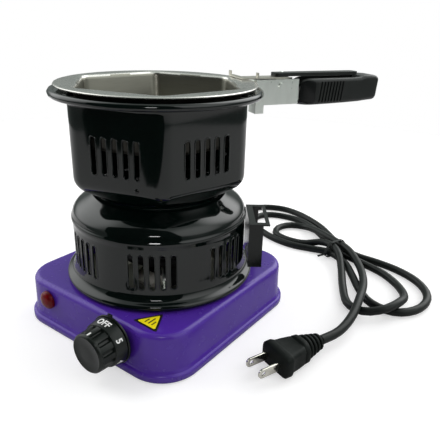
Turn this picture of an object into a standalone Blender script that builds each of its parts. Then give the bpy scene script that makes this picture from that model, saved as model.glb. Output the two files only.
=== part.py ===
"""Table-top electric melting pot, built as an assembly of separate pieces.

A square painted base carries a coil heater, a thermostat and a neon lamp. A round slotted skirt stands
on the base round the coil, a hexagonal slotted bowl nests in the skirt's neck, and a hexagonal steel pot
hangs in the bowl by its flange. A spring clip with a plastic grip holds the pot's flange. The mains cord
leaves the back of the base and lies on the table, tied in a figure of eight.

Metres, +Z up. Every size below is in millimetres and is measured from the burner's upright axis, with
the front (the thermostat's side) towards -Y. BURNER_AXIS puts that axis where the whole object, without
its cord, stands centred over the origin.
"""

import math

import bmesh
import bpy
from mathutils import Matrix, Vector

MM = 0.001
TAU = 2.0 * math.pi

# ---- driving dimensions, millimetres -------------------------------------------------------------
GAP = 0.3                      # clearance between touching pieces
SHEET = 1.0                    # thickness of the enamelled steel sheet

BASE_HALF = (72.0, 74.0)       # half width and half depth of the base's upright walls
BASE_CORNER = 24.0             # radius of the base's upright corners
BASE_TOP = 33.6                # height of the base's flat top
LIP_FLARE = 3.0                # how far the lower lip stands out from the wall
FOOT_HEIGHT = 0.8              # the rubber feet lift the lip off the table by this much
TOP_OPENING = 50.0             # radius of the opening that the drip pan hangs in

SKIRT_FOOT = 36.4              # height of the skirt's rolled foot bead
SKIRT_WALL = 62.0              # outer radius of the skirt's wall
SKIRT_SHOULDER = 80.0          # height of the ridge between wall and dome
NECK_RADIUS = 47.6             # radius of the dome's upper edge
NECK_TOP = 95.6                # height of the dome's upper edge
SKIRT_GROUPS = 7               # groups of five upright slots round the skirt
SKIRT_GROUP_AZIMUTH = 37.5     # azimuth of the first group's middle slot, degrees
SKIRT_SLOT_STEP = 6.4          # angle between slots of a group, degrees
SKIRT_SLOT_Z = (47.5, 71.5)

BOWL_APOTHEM = 56.0            # outside, centre to flat
BOWL_CORNER = 12.0             # radius of the bowl's upright corners
BOWL_VERTEX_AZIMUTH = 45.0     # azimuth of one upright corner, degrees
BOWL_RIM_RADIUS = 68.6         # middle of the rolled rim
BOWL_RIM_Z = 164.7
BEAD_RADIUS = 2.3              # radius of the rolled rim and of the skirt's foot
BOWL_SLOT_Z = (119.3, 143.0)
BOWL_SLOT_PITCH = 7.5
SLOT_WIDTH = 3.5

POT_APOTHEM = 52.0             # outside of the pot's wall, centre to flat
POT_CORNER = 9.0
POT_FLOOR = 132.0
POT_FLANGE_Z = 170.2           # top of the pot's flange
POT_FLANGE_RADIUS = 67.1
POT_SHEET = 0.8

KNOB_AXIS = (29.0, 21.8)       # x and z of the thermostat's axis
KNOB_FACE = -98.0              # y of the knob's front face
LAMP_AXIS = (-39.5, 22.5)      # x and z of the lamp's axis

HANDLE_AZIMUTH = 150.0         # direction of the handle, degrees from the front towards +X
CLIP_HALF = 5.5                # half width of the clip's channel
CLIP_Z = (152.0, 170.0)
TANG_Z = (155.0, 163.0)        # the clip's two prongs inside the grip
GRIP_START = 108.0             # distances along the handle are measured from the burner's axis
GRIP_END = 178.0
GRIP_HALF = 10.5
GRIP_Z = (151.0, 170.4)
LEVER_PIN = (92.0, 165.0)      # distance and height of the lever's pin
LEVER_END = 160.0

BRACKET_AZIMUTH = 127.6        # direction of the handle rest on the skirt
BRACKET_Z = (43.0, 76.5)
BRACKET_HALF = 20.0
BRACKET_REACH = (64.4, 79.0)

COIL_HEIGHT = 52.0              # height of the heating coil's middle
COIL_TUBE = 3.3                 # radius of its tube
CORD_RADIUS = 3.3
PLUG_LENGTH = 40.6
BLADE_SPACING = 12.7
CORD_PIECES = {"power_cord", "cord_tie", "plug_body", "plug_blade_1", "plug_blade_2"}
GLAND_AT = (-45.0, 74.0, 17.0)  # where the cord leaves the base's back wall
GLAND_LENGTH = 24.0            # how far the tapered strain relief stands out of the wall
PLUG_AT = (112.4, -17.1, 8.8)   # middle of the plug's front face
PLUG_AZIMUTH = 159.7            # direction from the plug's face to its cord
TIE_AT = (72.5, 168.0)          # middle of the cord tie
TIE_TURN = -21.7                # direction of the tied strands, degrees from +X

# ---- colours: base colour, metallic, roughness ---------------------------------------------------
FINISHES = {
    "purple_paint": ((0.085, 0.025, 0.33), 0.0, 0.28),
    "black_enamel": ((0.012, 0.013, 0.014), 0.0, 0.12),
    "black_plastic": ((0.02, 0.021, 0.022), 0.0, 0.45),
    "black_pvc": ((0.016, 0.017, 0.018), 0.0, 0.4),
    "satin_steel": ((0.56, 0.54, 0.50), 1.0, 0.32),
    "plated_steel": ((0.72, 0.73, 0.72), 1.0, 0.22),
    "dark_steel": ((0.10, 0.10, 0.105), 1.0, 0.45),
    "ceramic": ((0.80, 0.78, 0.72), 0.0, 0.5),
    "red_lens": ((0.55, 0.02, 0.02), 0.0, 0.15),
    "yellow_label": ((0.90, 0.70, 0.02), 0.0, 0.4),
    "rubber": ((0.03, 0.03, 0.03), 0.0, 0.8),
    "nickel": ((0.70, 0.68, 0.62), 1.0, 0.25),
    "clear_lacquer": ((0.35, 0.10, 0.05), 0.0, 0.3),
}


# ---- scene, materials and frames -----------------------------------------------------------------
def clear_scene():
    for item in list(bpy.data.objects):
        bpy.data.objects.remove(item, do_unlink=True)


def finish(name):
    """The material of that name, made on first use."""
    found = bpy.data.materials.get(name)
    if found:
        return found
    colour, metallic, roughness = FINISHES[name]
    made = bpy.data.materials.new(name)
    made.use_nodes = True
    shader = made.node_tree.nodes["Principled BSDF"]
    shader.inputs["Base Color"].default_value = (*colour, 1.0)
    shader.inputs["Metallic"].default_value = metallic
    shader.inputs["Roughness"].default_value = roughness
    made.diffuse_color = (*colour, 1.0)
    return made


def frame_empty(name, parent=None, at=(0.0, 0.0, 0.0), turn=0.0):
    """An empty that pieces hang from, at a place in its parent, turned about +Z by degrees."""
    empty = bpy.data.objects.new(name, None)
    bpy.context.collection.objects.link(empty)
    empty.parent = parent
    empty.location = Vector(at) * MM
    empty.rotation_euler = (0.0, 0.0, math.radians(turn))
    return empty


def azimuth_turn(azimuth):
    """The turn about +Z that brings +X round to an azimuth measured from -Y towards +X."""
    return azimuth - 90.0


# ---- mesh helpers --------------------------------------------------------------------------------
def add_mesh(name, mesh_builder, parent, finish_name, at=(0.0, 0.0, 0.0), sharp_degrees=35.0):
    """A new object from a bmesh in millimetres."""
    bmesh.ops.remove_doubles(mesh_builder, verts=mesh_builder.verts, dist=1e-4)
    bmesh.ops.recalc_face_normals(mesh_builder, faces=mesh_builder.faces)
    bmesh.ops.scale(mesh_builder, vec=(MM, MM, MM), verts=mesh_builder.verts)
    mesh = bpy.data.meshes.new(name)
    mesh_builder.to_mesh(mesh)
    mesh_builder.free()
    mesh.shade_smooth()
    mesh.set_sharp_from_angle(angle=math.radians(sharp_degrees))
    piece = bpy.data.objects.new(name, mesh)
    bpy.context.collection.objects.link(piece)
    piece.parent = parent
    piece.location = Vector(at) * MM
    if finish_name:
        mesh.materials.append(finish(finish_name))
    return piece


def rounded_polygon(apothems, corner, arc_steps, flat_steps, turn=0.0):
    """Corner points of a polygon with rounded corners, anticlockwise; side i faces turn + i*360/n."""
    sides = len(apothems)
    normals = [math.radians(turn) + TAU * side / sides for side in range(sides)]
    points = []
    for side in range(sides):
        ahead = (side + 1) % sides
        a0, a1 = apothems[side] - corner, apothems[ahead] - corner
        n0, n1 = normals[side], normals[side] + TAU / sides
        cross = math.sin(n1 - n0)
        centre = Vector(((a0 * math.sin(n1) - a1 * math.sin(n0)) / cross,
                         (a1 * math.cos(n0) - a0 * math.cos(n1)) / cross))
        for step in range(arc_steps + 1):
            angle = n0 + (n1 - n0) * step / arc_steps
            points.append(centre + corner * Vector((math.cos(angle), math.sin(angle))))
    spread = []
    per_corner = arc_steps + 1
    for index, point in enumerate(points):
        spread.append(point)
        if index % per_corner == arc_steps:
            following = points[(index + 1) % len(points)]
            for step in range(1, flat_steps):
                spread.append(point.lerp(following, step / flat_steps))
    return spread


def rectangle(half_x, half_y, corner, arc_steps=6, flat_steps=1):
    return rounded_polygon([half_x, half_y, half_x, half_y], corner, arc_steps, flat_steps)


def hexagon(apothem, corner):
    """Outline of the bowl and the pot; one corner is at BOWL_VERTEX_AZIMUTH."""
    turn = azimuth_turn(BOWL_VERTEX_AZIMUTH) - 30.0
    return rounded_polygon([apothem] * 6, corner, 4, 4, turn)


def circle_like(outline, radius):
    """A circle whose points lie at the same angles as an outline's."""
    return [point.normalized() * radius for point in outline]


def circle(radius, count):
    return [Vector((radius * math.cos(TAU * i / count), radius * math.sin(TAU * i / count)))
            for i in range(count)]


def level(outline, height):
    return [(point.x, point.y, height) for point in outline]


def loft(rings, closed=False):
    """Skin between rings of equal count; closed joins last to first, otherwise both ends are capped."""
    builder = bmesh.new()
    layers = [[builder.verts.new(point) for point in ring] for ring in rings]
    pairs = list(zip(layers, layers[1:]))
    if closed:
        pairs.append((layers[-1], layers[0]))
    for lower, upper in pairs:
        for index in range(len(lower)):
            after = (index + 1) % len(lower)
            builder.faces.new((lower[index], lower[after], upper[after], upper[index]))
    if not closed:
        builder.faces.new(list(reversed(layers[0])))
        builder.faces.new(layers[-1])
    return builder


def turned(profile, count, closed=False):
    """A body of revolution about Z from (radius, height) pairs."""
    return loft([level(circle(radius, count), height) for radius, height in profile], closed)


def block(low, high):
    """A box between two corners."""
    builder = bmesh.new()
    bmesh.ops.create_cube(builder, size=1.0)
    size = Vector(high) - Vector(low)
    bmesh.ops.scale(builder, vec=size, verts=builder.verts)
    bmesh.ops.translate(builder, vec=(Vector(high) + Vector(low)) / 2.0, verts=builder.verts)
    return builder


def turn_builder(builder, axis, degrees):
    bmesh.ops.rotate(builder, cent=(0.0, 0.0, 0.0), verts=builder.verts,
                     matrix=Matrix.Rotation(math.radians(degrees), 3, axis))
    return builder


def joined(builders):
    """One bmesh that holds several separate bodies, for a cutter."""
    whole = bmesh.new()
    for builder in builders:
        piece = bpy.data.meshes.new("part")
        builder.to_mesh(piece)
        builder.free()
        whole.from_mesh(piece)
        bpy.data.meshes.remove(piece)
    return whole


def cut(piece, builder, operation="DIFFERENCE"):
    """Cuts a piece with a bmesh in the piece's own frame, or unites the two."""
    cutter = add_mesh(piece.name + "_cutter", builder, piece.parent, None, at=piece.location / MM)
    cutter.rotation_euler = piece.rotation_euler
    cutter.hide_render = True
    cutter.display_type = "WIRE"
    modifier = piece.modifiers.new("cut", "BOOLEAN")
    modifier.operation = operation
    modifier.solver = "EXACT"
    modifier.object = cutter


def arc(centre, radius, start, end, steps):
    """(radius, height) points along an arc, angles in degrees from +radius towards +height."""
    return [(centre[0] + radius * math.cos(math.radians(start + (end - start) * step / steps)),
             centre[1] + radius * math.sin(math.radians(start + (end - start) * step / steps)))
            for step in range(steps + 1)]


# ---- base ----------------------------------------------------------------------------------------
def base_ring(inset, height):
    """Outline of the base's wall, drawn in by inset."""
    corner = max(BASE_CORNER - inset, 2.0)
    return level(rectangle(BASE_HALF[0] - inset, BASE_HALF[1] - inset, corner, 6, 6), height)


def base_housing(parent):
    edge = 4.0                     # rounding between wall and top
    guide = rectangle(*BASE_HALF, BASE_CORNER, 6, 6)
    rings = [
        base_ring(-LIP_FLARE, FOOT_HEIGHT),
        base_ring(-LIP_FLARE, 4.8),
        base_ring(-1.6, 6.6),
        base_ring(0.0, 8.0),
        base_ring(0.4, BASE_TOP - edge),
        base_ring(0.4 + edge * 0.3, BASE_TOP - edge * 0.3),
        base_ring(0.4 + edge, BASE_TOP),
        level(circle_like(guide, TOP_OPENING), BASE_TOP),
        level(circle_like(guide, TOP_OPENING), BASE_TOP - SHEET),
        base_ring(0.4 + edge + 0.5, BASE_TOP - SHEET),
        base_ring(0.4 + SHEET + 0.6, BASE_TOP - edge - 0.6),
        base_ring(SHEET, 8.5),
        base_ring(SHEET - LIP_FLARE, 5.5),
        base_ring(SHEET - LIP_FLARE, FOOT_HEIGHT),
    ]
    housing = add_mesh("base_housing", loft(rings, closed=True), parent, "purple_paint")
    knob_hole = turn_builder(turned([(4.6, 60.0), (4.6, 90.0)], 24), "X", 90.0)
    bmesh.ops.translate(knob_hole, vec=(KNOB_AXIS[0], 0.0, KNOB_AXIS[1]), verts=knob_hole.verts)
    lamp_hole = turn_builder(turned([(5.3, 60.0), (5.3, 90.0)], 24), "X", 90.0)
    bmesh.ops.translate(lamp_hole, vec=(LAMP_AXIS[0], 0.0, LAMP_AXIS[1]), verts=lamp_hole.verts)
    gland_hole = turn_builder(turned([(4.8, 60.0), (4.8, 90.0)], 24), "X", -90.0)
    bmesh.ops.translate(gland_hole, vec=(GLAND_AT[0], 0.0, GLAND_AT[2]), verts=gland_hole.verts)
    cut(housing, joined([knob_hole, lamp_hole, gland_hole]))
    return housing


def bottom_plate(parent):
    inset = SHEET + GAP + 0.3 - LIP_FLARE
    plate = add_mesh("bottom_plate", loft([base_ring(inset, 3.0), base_ring(inset, 4.0)]), parent,
                     "dark_steel")
    vents = []
    for side in (-1, 1):
        for index in range(5):
            x = (index - 2) * 9.0
            vents.append(block((x - 1.8, side * 28.0 - 11.0, 1.0), (x + 1.8, side * 28.0 + 11.0, 6.0)))
    cut(plate, joined(vents))


def feet_and_screws(parent):
    spread = 50.0
    number = 0
    for x in (-spread, spread):
        for y in (-spread, spread):
            number += 1
            add_mesh(f"foot_{number}", turned([(6.0, 0.0), (7.0, 0.6), (7.0, 2.7)], 20), parent,
                     "rubber", at=(x, y, 0.0))
            screw = turned([(2.0, 1.6), (2.9, 2.0), (2.9, 2.7)], 12)
            add_mesh(f"plate_screw_{number}", screw, parent, "plated_steel",
                     at=(x * 1.18, y * 0.72, 0.0))


def drip_pan(parent):
    thick = 0.6
    under = BASE_TOP + GAP
    profile = [
        (20.0, 24.0), (34.0, 22.5), (TOP_OPENING - 3.0, 27.0), (TOP_OPENING - 1.4, under),
        (TOP_OPENING + 6.0, under), (TOP_OPENING + 6.0, under + thick),
        (TOP_OPENING - 2.2, under + thick), (TOP_OPENING - 3.8, 28.0), (34.0, 23.2), (20.0, 24.8),
    ]
    pan = add_mesh("drip_pan", turned(profile, 36, closed=True), parent, "satin_steel")
    leg = coil_points()[-1]
    hole = turned([(5.0, 15.0), (5.0, 35.0)], 16)
    bmesh.ops.translate(hole, vec=(leg[0], leg[1], 0.0), verts=hole.verts)
    cut(pan, hole)


def coil_points():
    """A flat spiral whose inner and outer ends turn down through the drip pan."""
    height, turns, inner, outer = COIL_HEIGHT, 2.6, 13.0, 41.0
    steps = int(turns * 15)
    points = [(inner - 1.0, 0.0, 20.0), (inner - 1.0, 0.0, height - 6.0)]
    for step in range(steps + 1):
        part = step / steps
        angle = TAU * turns * part + 0.35
        radius = inner + (outer - inner) * part
        points.append((radius * math.cos(angle), radius * math.sin(angle), height))
    end_angle = TAU * turns + 0.6
    foot = (outer * math.cos(end_angle), outer * math.sin(end_angle))
    points.append((*foot, height - 5.0))
    points.append((*foot, 20.0))
    return points


def coil_support(parent):
    """Three-armed stamped bracket that stands on the pan's rim and carries the coil."""
    top = COIL_HEIGHT - COIL_TUBE - GAP - 0.2
    rim = BASE_TOP + 2.0 * GAP + 0.6
    support = add_mesh("coil_support", turned([(6.0, 40.0), (6.0, 43.0)], 18), parent, "plated_steel")
    for arm in range(3):
        facing = 75.0 + 120.0 * arm
        cut(support, turn_builder(block((2.0, -0.6, 38.0), (45.5, 0.6, top)), "Z", facing), "UNION")
        cut(support, turn_builder(block((42.0, -2.0, rim), (53.0, 2.0, 40.5)), "Z", facing), "UNION")


def curve_tube(name, points, radius, resolution, parent, finish_name):
    """A round tube through points in millimetres, with flat closed ends."""
    data = bpy.data.curves.new(name, "CURVE")
    data.dimensions = "3D"
    data.bevel_depth = radius * MM
    data.bevel_resolution = resolution
    data.use_fill_caps = True
    spline = data.splines.new("POLY")
    spline.points.add(len(points) - 1)
    for place, point in zip(spline.points, points):
        place.co = (*(Vector(point) * MM), 1.0)
    data.materials.append(finish(finish_name))
    tube = bpy.data.objects.new(name, data)
    bpy.context.collection.objects.link(tube)
    tube.parent = parent
    return tube


def wiring(parent):
    """What the base holds inside: thermostat, terminal block, lamp body."""
    x, z = KNOB_AXIS
    add_mesh("thermostat_body", block((x - 13.0, -70.0, z - 12.0), (x + 13.0, -54.5, z + 7.0)), parent,
             "ceramic")
    add_mesh("terminal_block", block((-34.0, -8.0, 5.0), (-4.0, 8.0, 17.5)), parent, "ceramic")
    lamp = turn_builder(turned([(4.9, 56.0), (4.9, 74.2)], 20), "X", 90.0)
    add_mesh("lamp_body", lamp, parent, "clear_lacquer", at=(LAMP_AXIS[0], 0.0, LAMP_AXIS[1]))


def lamp_lens(parent):
    profile = [(6.6, 74.6), (6.6, 75.6), (5.8, 77.0), (3.6, 78.3), (1.2, 78.8)]
    lens = turn_builder(turned(profile, 24), "X", 90.0)
    add_mesh("lamp_lens", lens, parent, "red_lens", at=(LAMP_AXIS[0], 0.0, LAMP_AXIS[1]))


def knob_bezel(parent):
    """Flat ring behind the knob, with a pointer tab at its top."""
    ring = turned([(10.0, 74.4), (10.0, 77.3), (16.6, 77.3), (16.6, 78.4), (8.0, 78.4), (8.0, 74.4)], 30,
                  closed=True)
    bezel = add_mesh("knob_bezel", turn_builder(ring, "X", 90.0), parent, "black_plastic",
                     at=(KNOB_AXIS[0], 0.0, KNOB_AXIS[1]))
    cut(bezel, block((-1.6, -78.3, 15.0), (1.6, -77.4, 18.4)), "UNION")


def knob(parent):
    """Thermostat knob: a numbered skirt and a fluted grip, with a shallow face."""
    count = 45

    def fluted(radius, depth, height):
        ring = []
        for index in range(count):
            angle = TAU * index / count
            here = radius - (depth if index % 5 in (0, 1) else 0.0)
            ring.append((here * math.cos(angle), here * math.sin(angle), height))
        return ring

    front = -KNOB_FACE
    rings = [
        level(circle(15.8, count), 78.8),
        level(circle(15.6, count), 80.4),
        level(circle(14.7, count), 86.6),
        fluted(13.4, 1.2, 86.8),
        fluted(13.0, 1.1, front - 2.0),
        level(circle(13.0, count), front - 1.9),
        level(circle(12.4, count), front - 0.4),
        level(circle(11.2, count), front),
        level(circle(10.8, count), front - 0.4),
    ]
    dial = add_mesh("knob", turn_builder(loft(rings), "X", 90.0), parent, "black_plastic")
    cut(dial, turn_builder(turned([(3.2, 70.0), (3.2, 88.0)], 20), "X", 90.0))
    shaft = turn_builder(turned([(2.9, 71.0), (2.9, 87.0)], 20), "X", 90.0)
    add_mesh("knob_shaft", shaft, parent, "plated_steel")


def caution_label(parent):
    """Triangular hot-surface label on the front right of the base's top."""
    corners = [(37.4, -66.4), (57.2, -67.0), (47.6, -50.3)]
    low = [(x, y, BASE_TOP + GAP) for x, y in corners]
    high = [(x, y, BASE_TOP + GAP + 0.3) for x, y in corners]
    add_mesh("caution_label", loft([low, high]), parent, "yellow_label")


# ---- skirt ---------------------------------------------------------------------------------------
def guard_skirt(parent):
    wall = SKIRT_WALL
    outer = arc((wall + 4.3, SKIRT_FOOT), BEAD_RADIUS, -180.0, 60.0, 5)
    outer += [
        (wall + 2.2, SKIRT_FOOT + 4.0), (wall + 0.5, 45.0), (wall, 60.0), (wall + 0.2, SKIRT_SHOULDER - 4.5),
        (wall + 0.9, SKIRT_SHOULDER - 2.5), (wall + 0.9, SKIRT_SHOULDER - 0.8),
        (wall, SKIRT_SHOULDER + 0.6), (wall - 0.9, 84.0), (wall - 3.4, 87.4), (wall - 7.0, 90.4),
        (wall - 11.2, 93.2), (NECK_RADIUS, NECK_TOP),
    ]
    inner = [
        (NECK_RADIUS - 0.3, NECK_TOP - 1.0), (wall - 11.8, 92.0), (wall - 7.9, 89.3), (wall - 4.5, 86.4),
        (wall - 1.9, 83.3), (wall - 0.9, SKIRT_SHOULDER), (wall - SHEET, 60.0), (wall - 0.4, 44.8),
        (wall + 1.2, SKIRT_FOOT + 3.4),
    ]
    skirt = add_mesh("guard_skirt", turned(outer + inner, 56, closed=True), parent, "black_enamel")
    slots = []
    for group in range(SKIRT_GROUPS):
        for slot in range(-2, 3):
            azimuth = SKIRT_GROUP_AZIMUTH + 360.0 / SKIRT_GROUPS * group + SKIRT_SLOT_STEP * slot
            cutter = slot_block(wall - 4.0, wall + 4.0, SKIRT_SLOT_Z)
            slots.append(turn_builder(cutter, "Z", azimuth_turn(azimuth)))
    cut(skirt, joined(slots))


def slot_block(near, far, heights, offset=0.0):
    """Cutter for one upright slot through a wall that faces +X."""
    half = SLOT_WIDTH / 2.0
    return block((near, offset - half, heights[0]), (far, offset + half, heights[1]))


def handle_rest(parent):
    """Sheet-metal rest on the skirt that the lifted handle hooks into; +X points outwards here."""
    near, far = BRACKET_REACH
    low, high = BRACKET_Z
    thick = 1.2
    rest = add_mesh("handle_rest", block((near, -BRACKET_HALF, low), (near + thick, BRACKET_HALF, high)),
                    parent, "black_enamel")
    for side in (-1, 1):
        edges = sorted((side * BRACKET_HALF, side * (BRACKET_HALF - thick)))
        cut(rest, block((near, edges[0], low), (near + 10.0, edges[1], high)), "UNION")
    cut(rest, block((near, -BRACKET_HALF, high - thick), (far, BRACKET_HALF, high)), "UNION")
    window_low = (near + 4.8, -BRACKET_HALF + 4.0, high - 6.0)
    window_high = (far - 2.6, BRACKET_HALF - 4.0, high + 4.0)
    cut(rest, block(window_low, window_high))
    for number, side in enumerate((-1, 1), start=1):
        rivet = turn_builder(turned([(2.6, 0.0), (2.6, 0.8), (1.4, 1.5)], 14), "Y", 90.0)
        add_mesh(f"rest_rivet_{number}", rivet, parent, "black_enamel",
                 at=(near + thick + GAP, side * 12.0, 60.0))


# ---- bowl ----------------------------------------------------------------------------------------
def bowl(parent):
    guide = hexagon(BOWL_APOTHEM, BOWL_CORNER)

    def hexagonal(inset, height):
        return level(hexagon(BOWL_APOTHEM - inset, BOWL_CORNER - min(inset, 8.0)), height)

    def round_ring(radius, height):
        return level(circle_like(guide, radius), height)

    rim = [round_ring(radius, height) for radius, height in
           arc((BOWL_RIM_RADIUS, BOWL_RIM_Z), BEAD_RADIUS, -140.0, 140.0, 6)]
    rings = [
        round_ring(46.3, 88.0),
        round_ring(46.3, 97.5),
        round_ring(47.6, 98.6),
        hexagonal(4.0, 105.6),
        hexagonal(1.2, 108.8),
        hexagonal(0.0, 113.0),
        hexagonal(0.0, 158.0),
        *rim,
        hexagonal(-2.0, 168.8),
        hexagonal(-0.4, 168.8),
        hexagonal(1.0, 166.5),
        hexagonal(1.0, 113.4),
        hexagonal(2.4, 109.6),
        hexagonal(5.4, 106.4),
        round_ring(46.6, 99.7),
        round_ring(45.3, 98.0),
        round_ring(45.3, 88.0),
    ]
    piece = add_mesh("bowl", loft(rings, closed=True), parent, "black_enamel")
    slots = []
    for side in range(6):
        facing = azimuth_turn(BOWL_VERTEX_AZIMUTH) + 30.0 + 60.0 * side
        for slot in range(-2, 3):
            cutter = slot_block(BOWL_APOTHEM - 5.0, BOWL_APOTHEM + 4.0, BOWL_SLOT_Z, slot * BOWL_SLOT_PITCH)
            slots.append(turn_builder(cutter, "Z", facing))
    cut(piece, joined(slots))


# ---- pot -----------------------------------------------------------------------------------------
def melting_pot(parent):
    guide = hexagon(POT_APOTHEM, POT_CORNER)
    sheet = POT_SHEET
    top = POT_FLANGE_Z

    def hexagonal(inset, height):
        return level(hexagon(POT_APOTHEM - inset, max(POT_CORNER - inset, 3.0)), height)

    def round_ring(radius, height):
        return level(circle_like(guide, radius), height)

    rings = [
        hexagonal(6.0 + sheet, POT_FLOOR + sheet),
        hexagonal(3.0 + sheet, POT_FLOOR + sheet + 0.8),
        hexagonal(1.5 + sheet, POT_FLOOR + sheet + 3.5),
        hexagonal(sheet, top - 2.0),
        hexagonal(-1.2, top),
        round_ring(POT_FLANGE_RADIUS, top),
        round_ring(POT_FLANGE_RADIUS, top - sheet),
        hexagonal(-1.6, top - sheet),
        hexagonal(0.0, top - 2.4),
        hexagonal(1.5, POT_FLOOR + 3.5),
        hexagonal(3.0, POT_FLOOR + 0.5),
        hexagonal(6.0, POT_FLOOR),
    ]
    add_mesh("melting_pot", loft(rings), parent, "satin_steel")


# ---- handle; +X points outwards along it ---------------------------------------------------------
def clip_body(parent):
    """Plated jaw and channel in one bent piece: the jaw stands outside the rim, its lip under the flange."""
    jaw = 71.3
    back = 150.0
    wall = 1.2
    low, high = CLIP_Z
    body = add_mesh("clip_body", block((jaw, -CLIP_HALF, 146.0), (78.0, CLIP_HALF, high)), parent,
                    "plated_steel")
    cut(body, block((77.0, -CLIP_HALF, low), (back, CLIP_HALF, high)), "UNION")
    cut(body, block((jaw + wall, -CLIP_HALF + wall, 144.0), (78.5, CLIP_HALF - wall, high + 2.0)))
    cut(body, block((78.0, -CLIP_HALF + wall, low + wall), (back + 2.0, CLIP_HALF - wall, high + 2.0)))
    cut(body, block((65.6, -CLIP_HALF, 167.5), (jaw + 0.6, CLIP_HALF, 168.6)), "UNION")
    for cleared in ((low - 1.0, TANG_Z[0]), (TANG_Z[1], high + 1.0)):
        cut(body, block((GRIP_START - 1.5, -CLIP_HALF - 1.0, cleared[0]),
                        (back + 1.0, CLIP_HALF + 1.0, cleared[1])))
    pin_hole = turn_builder(turned([(1.8, -10.0), (1.8, 10.0)], 12), "X", 90.0)
    bmesh.ops.translate(pin_hole, vec=(LEVER_PIN[0], 0.0, LEVER_PIN[1]), verts=pin_hole.verts)
    cut(body, pin_hole)


def grip(parent):
    """Moulded grip: a rounded bar with a trough on top that the lever sinks into."""
    low, high = GRIP_Z

    def section(distance, half, bottom, top):
        outline = rectangle(half, (top - bottom) / 2.0, 3.0, 3, 1)
        middle = (top + bottom) / 2.0
        return [(distance, point.x, middle + point.y) for point in outline]

    rings = [
        section(GRIP_START, GRIP_HALF - 2.0, low + 2.0, high - 1.0),
        section(GRIP_START + 2.5, GRIP_HALF, low, high),
        section(GRIP_START + 40.0, GRIP_HALF - 0.2, low + 0.7, high),
        section(GRIP_END - 10.0, GRIP_HALF - 0.6, low + 1.8, high + 1.6),
        section(GRIP_END - 3.0, GRIP_HALF - 0.9, low + 2.2, high + 0.9),
        section(GRIP_END, GRIP_HALF - 3.0, low + 4.0, high - 1.0),
    ]
    piece = add_mesh("grip", loft(rings), parent, "black_plastic")
    socket = CLIP_HALF + GAP
    cut(piece, block((GRIP_START - 5.0, -socket, TANG_Z[0] - GAP), (150.6, socket, TANG_Z[1] + GAP)))
    cut(piece, block((GRIP_START - 5.0, -socket - 0.4, CLIP_Z[1] - 8.0),
                     (LEVER_END + 2.0, socket + 0.4, CLIP_Z[1] + 5.0)))
    ribs = []
    for side in (-1, 1):
        for index in range(8):
            x = 123.0 + index * 2.75
            edges = sorted((side * (GRIP_HALF - 0.8), side * (GRIP_HALF + 2.0)))
            ribs.append(block((x, edges[0], low + 3.0), (x + 1.1, edges[1], high - 2.0)))
    cut(piece, joined(ribs))


def clip_pin_and_spring(parent):
    pin = turn_builder(turned([(2.6, -CLIP_HALF - 1.3), (2.6, -CLIP_HALF - 0.3), (1.5, -CLIP_HALF - 0.3),
                               (1.5, CLIP_HALF + 0.3), (2.6, CLIP_HALF + 0.3), (2.6, CLIP_HALF + 1.3)], 12),
                       "X", 90.0)
    add_mesh("lever_pin", pin, parent, "plated_steel", at=(LEVER_PIN[0], 0.0, LEVER_PIN[1]))
    coil = []
    turns, per_turn, radius = 3, 9, 2.7
    for step in range(turns * per_turn + 1):
        angle = TAU * step / per_turn
        coil.append((LEVER_PIN[0] + radius * math.cos(angle), -1.8 + 3.6 * step / (turns * per_turn),
                     LEVER_PIN[1] + radius * math.sin(angle)))
    curve_tube("lever_spring", coil, 0.4, 1, parent, "dark_steel")


def lever(parent):
    """Upper jaw and thumb lever; local origin on the pin, so heights are measured from it."""
    pin_x, pin_z = LEVER_PIN
    top = CLIP_Z[1] + 0.6 - pin_z
    inner = CLIP_HALF - 1.2 - GAP
    jaw = add_mesh("upper_jaw", block((60.0 - pin_x, -CLIP_HALF, top + 0.0), (98.0 - pin_x, CLIP_HALF, top + 1.0)),
                   parent, "plated_steel")
    cut(jaw, block((60.0 - pin_x, 0.0, top), (64.0 - pin_x, 18.0, top + 1.0)), "UNION")
    cut(jaw, block((60.0 - pin_x, 14.5, top), (60.9 - pin_x, 18.0, top + 4.0)), "UNION")
    cut(jaw, block((72.0 - pin_x, -CLIP_HALF, top), (72.9 - pin_x, -CLIP_HALF + 3.0, top + 4.2)), "UNION")
    for side in (-1, 1):
        edges = sorted((side * inner, side * (inner - 0.9)))
        cut(jaw, block((-4.0, edges[0], -3.6), (4.0, edges[1], top + 0.5)), "UNION")
    cut(jaw, turn_builder(turned([(1.8, -10.0), (1.8, 10.0)], 12), "X", 90.0))
    under = top + 1.0 + GAP
    half = 5.0
    outline = rectangle((LEVER_END - 87.0) / 2.0, half, 3.0, 3, 1)
    middle = (LEVER_END + 87.0) / 2.0 - pin_x
    bar = loft([[(middle + point.x, point.y, height) for point in outline]
                for height in (under, under + 2.4)])
    add_mesh("thumb_lever", bar, parent, "black_plastic")
    rivet = turned([(1.6, under + 2.4 + GAP), (1.6, under + 2.9), (0.8, under + 3.2)], 12)
    add_mesh("lever_rivet", rivet, parent, "plated_steel", at=(94.0 - pin_x, 0.0, 0.0))


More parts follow.
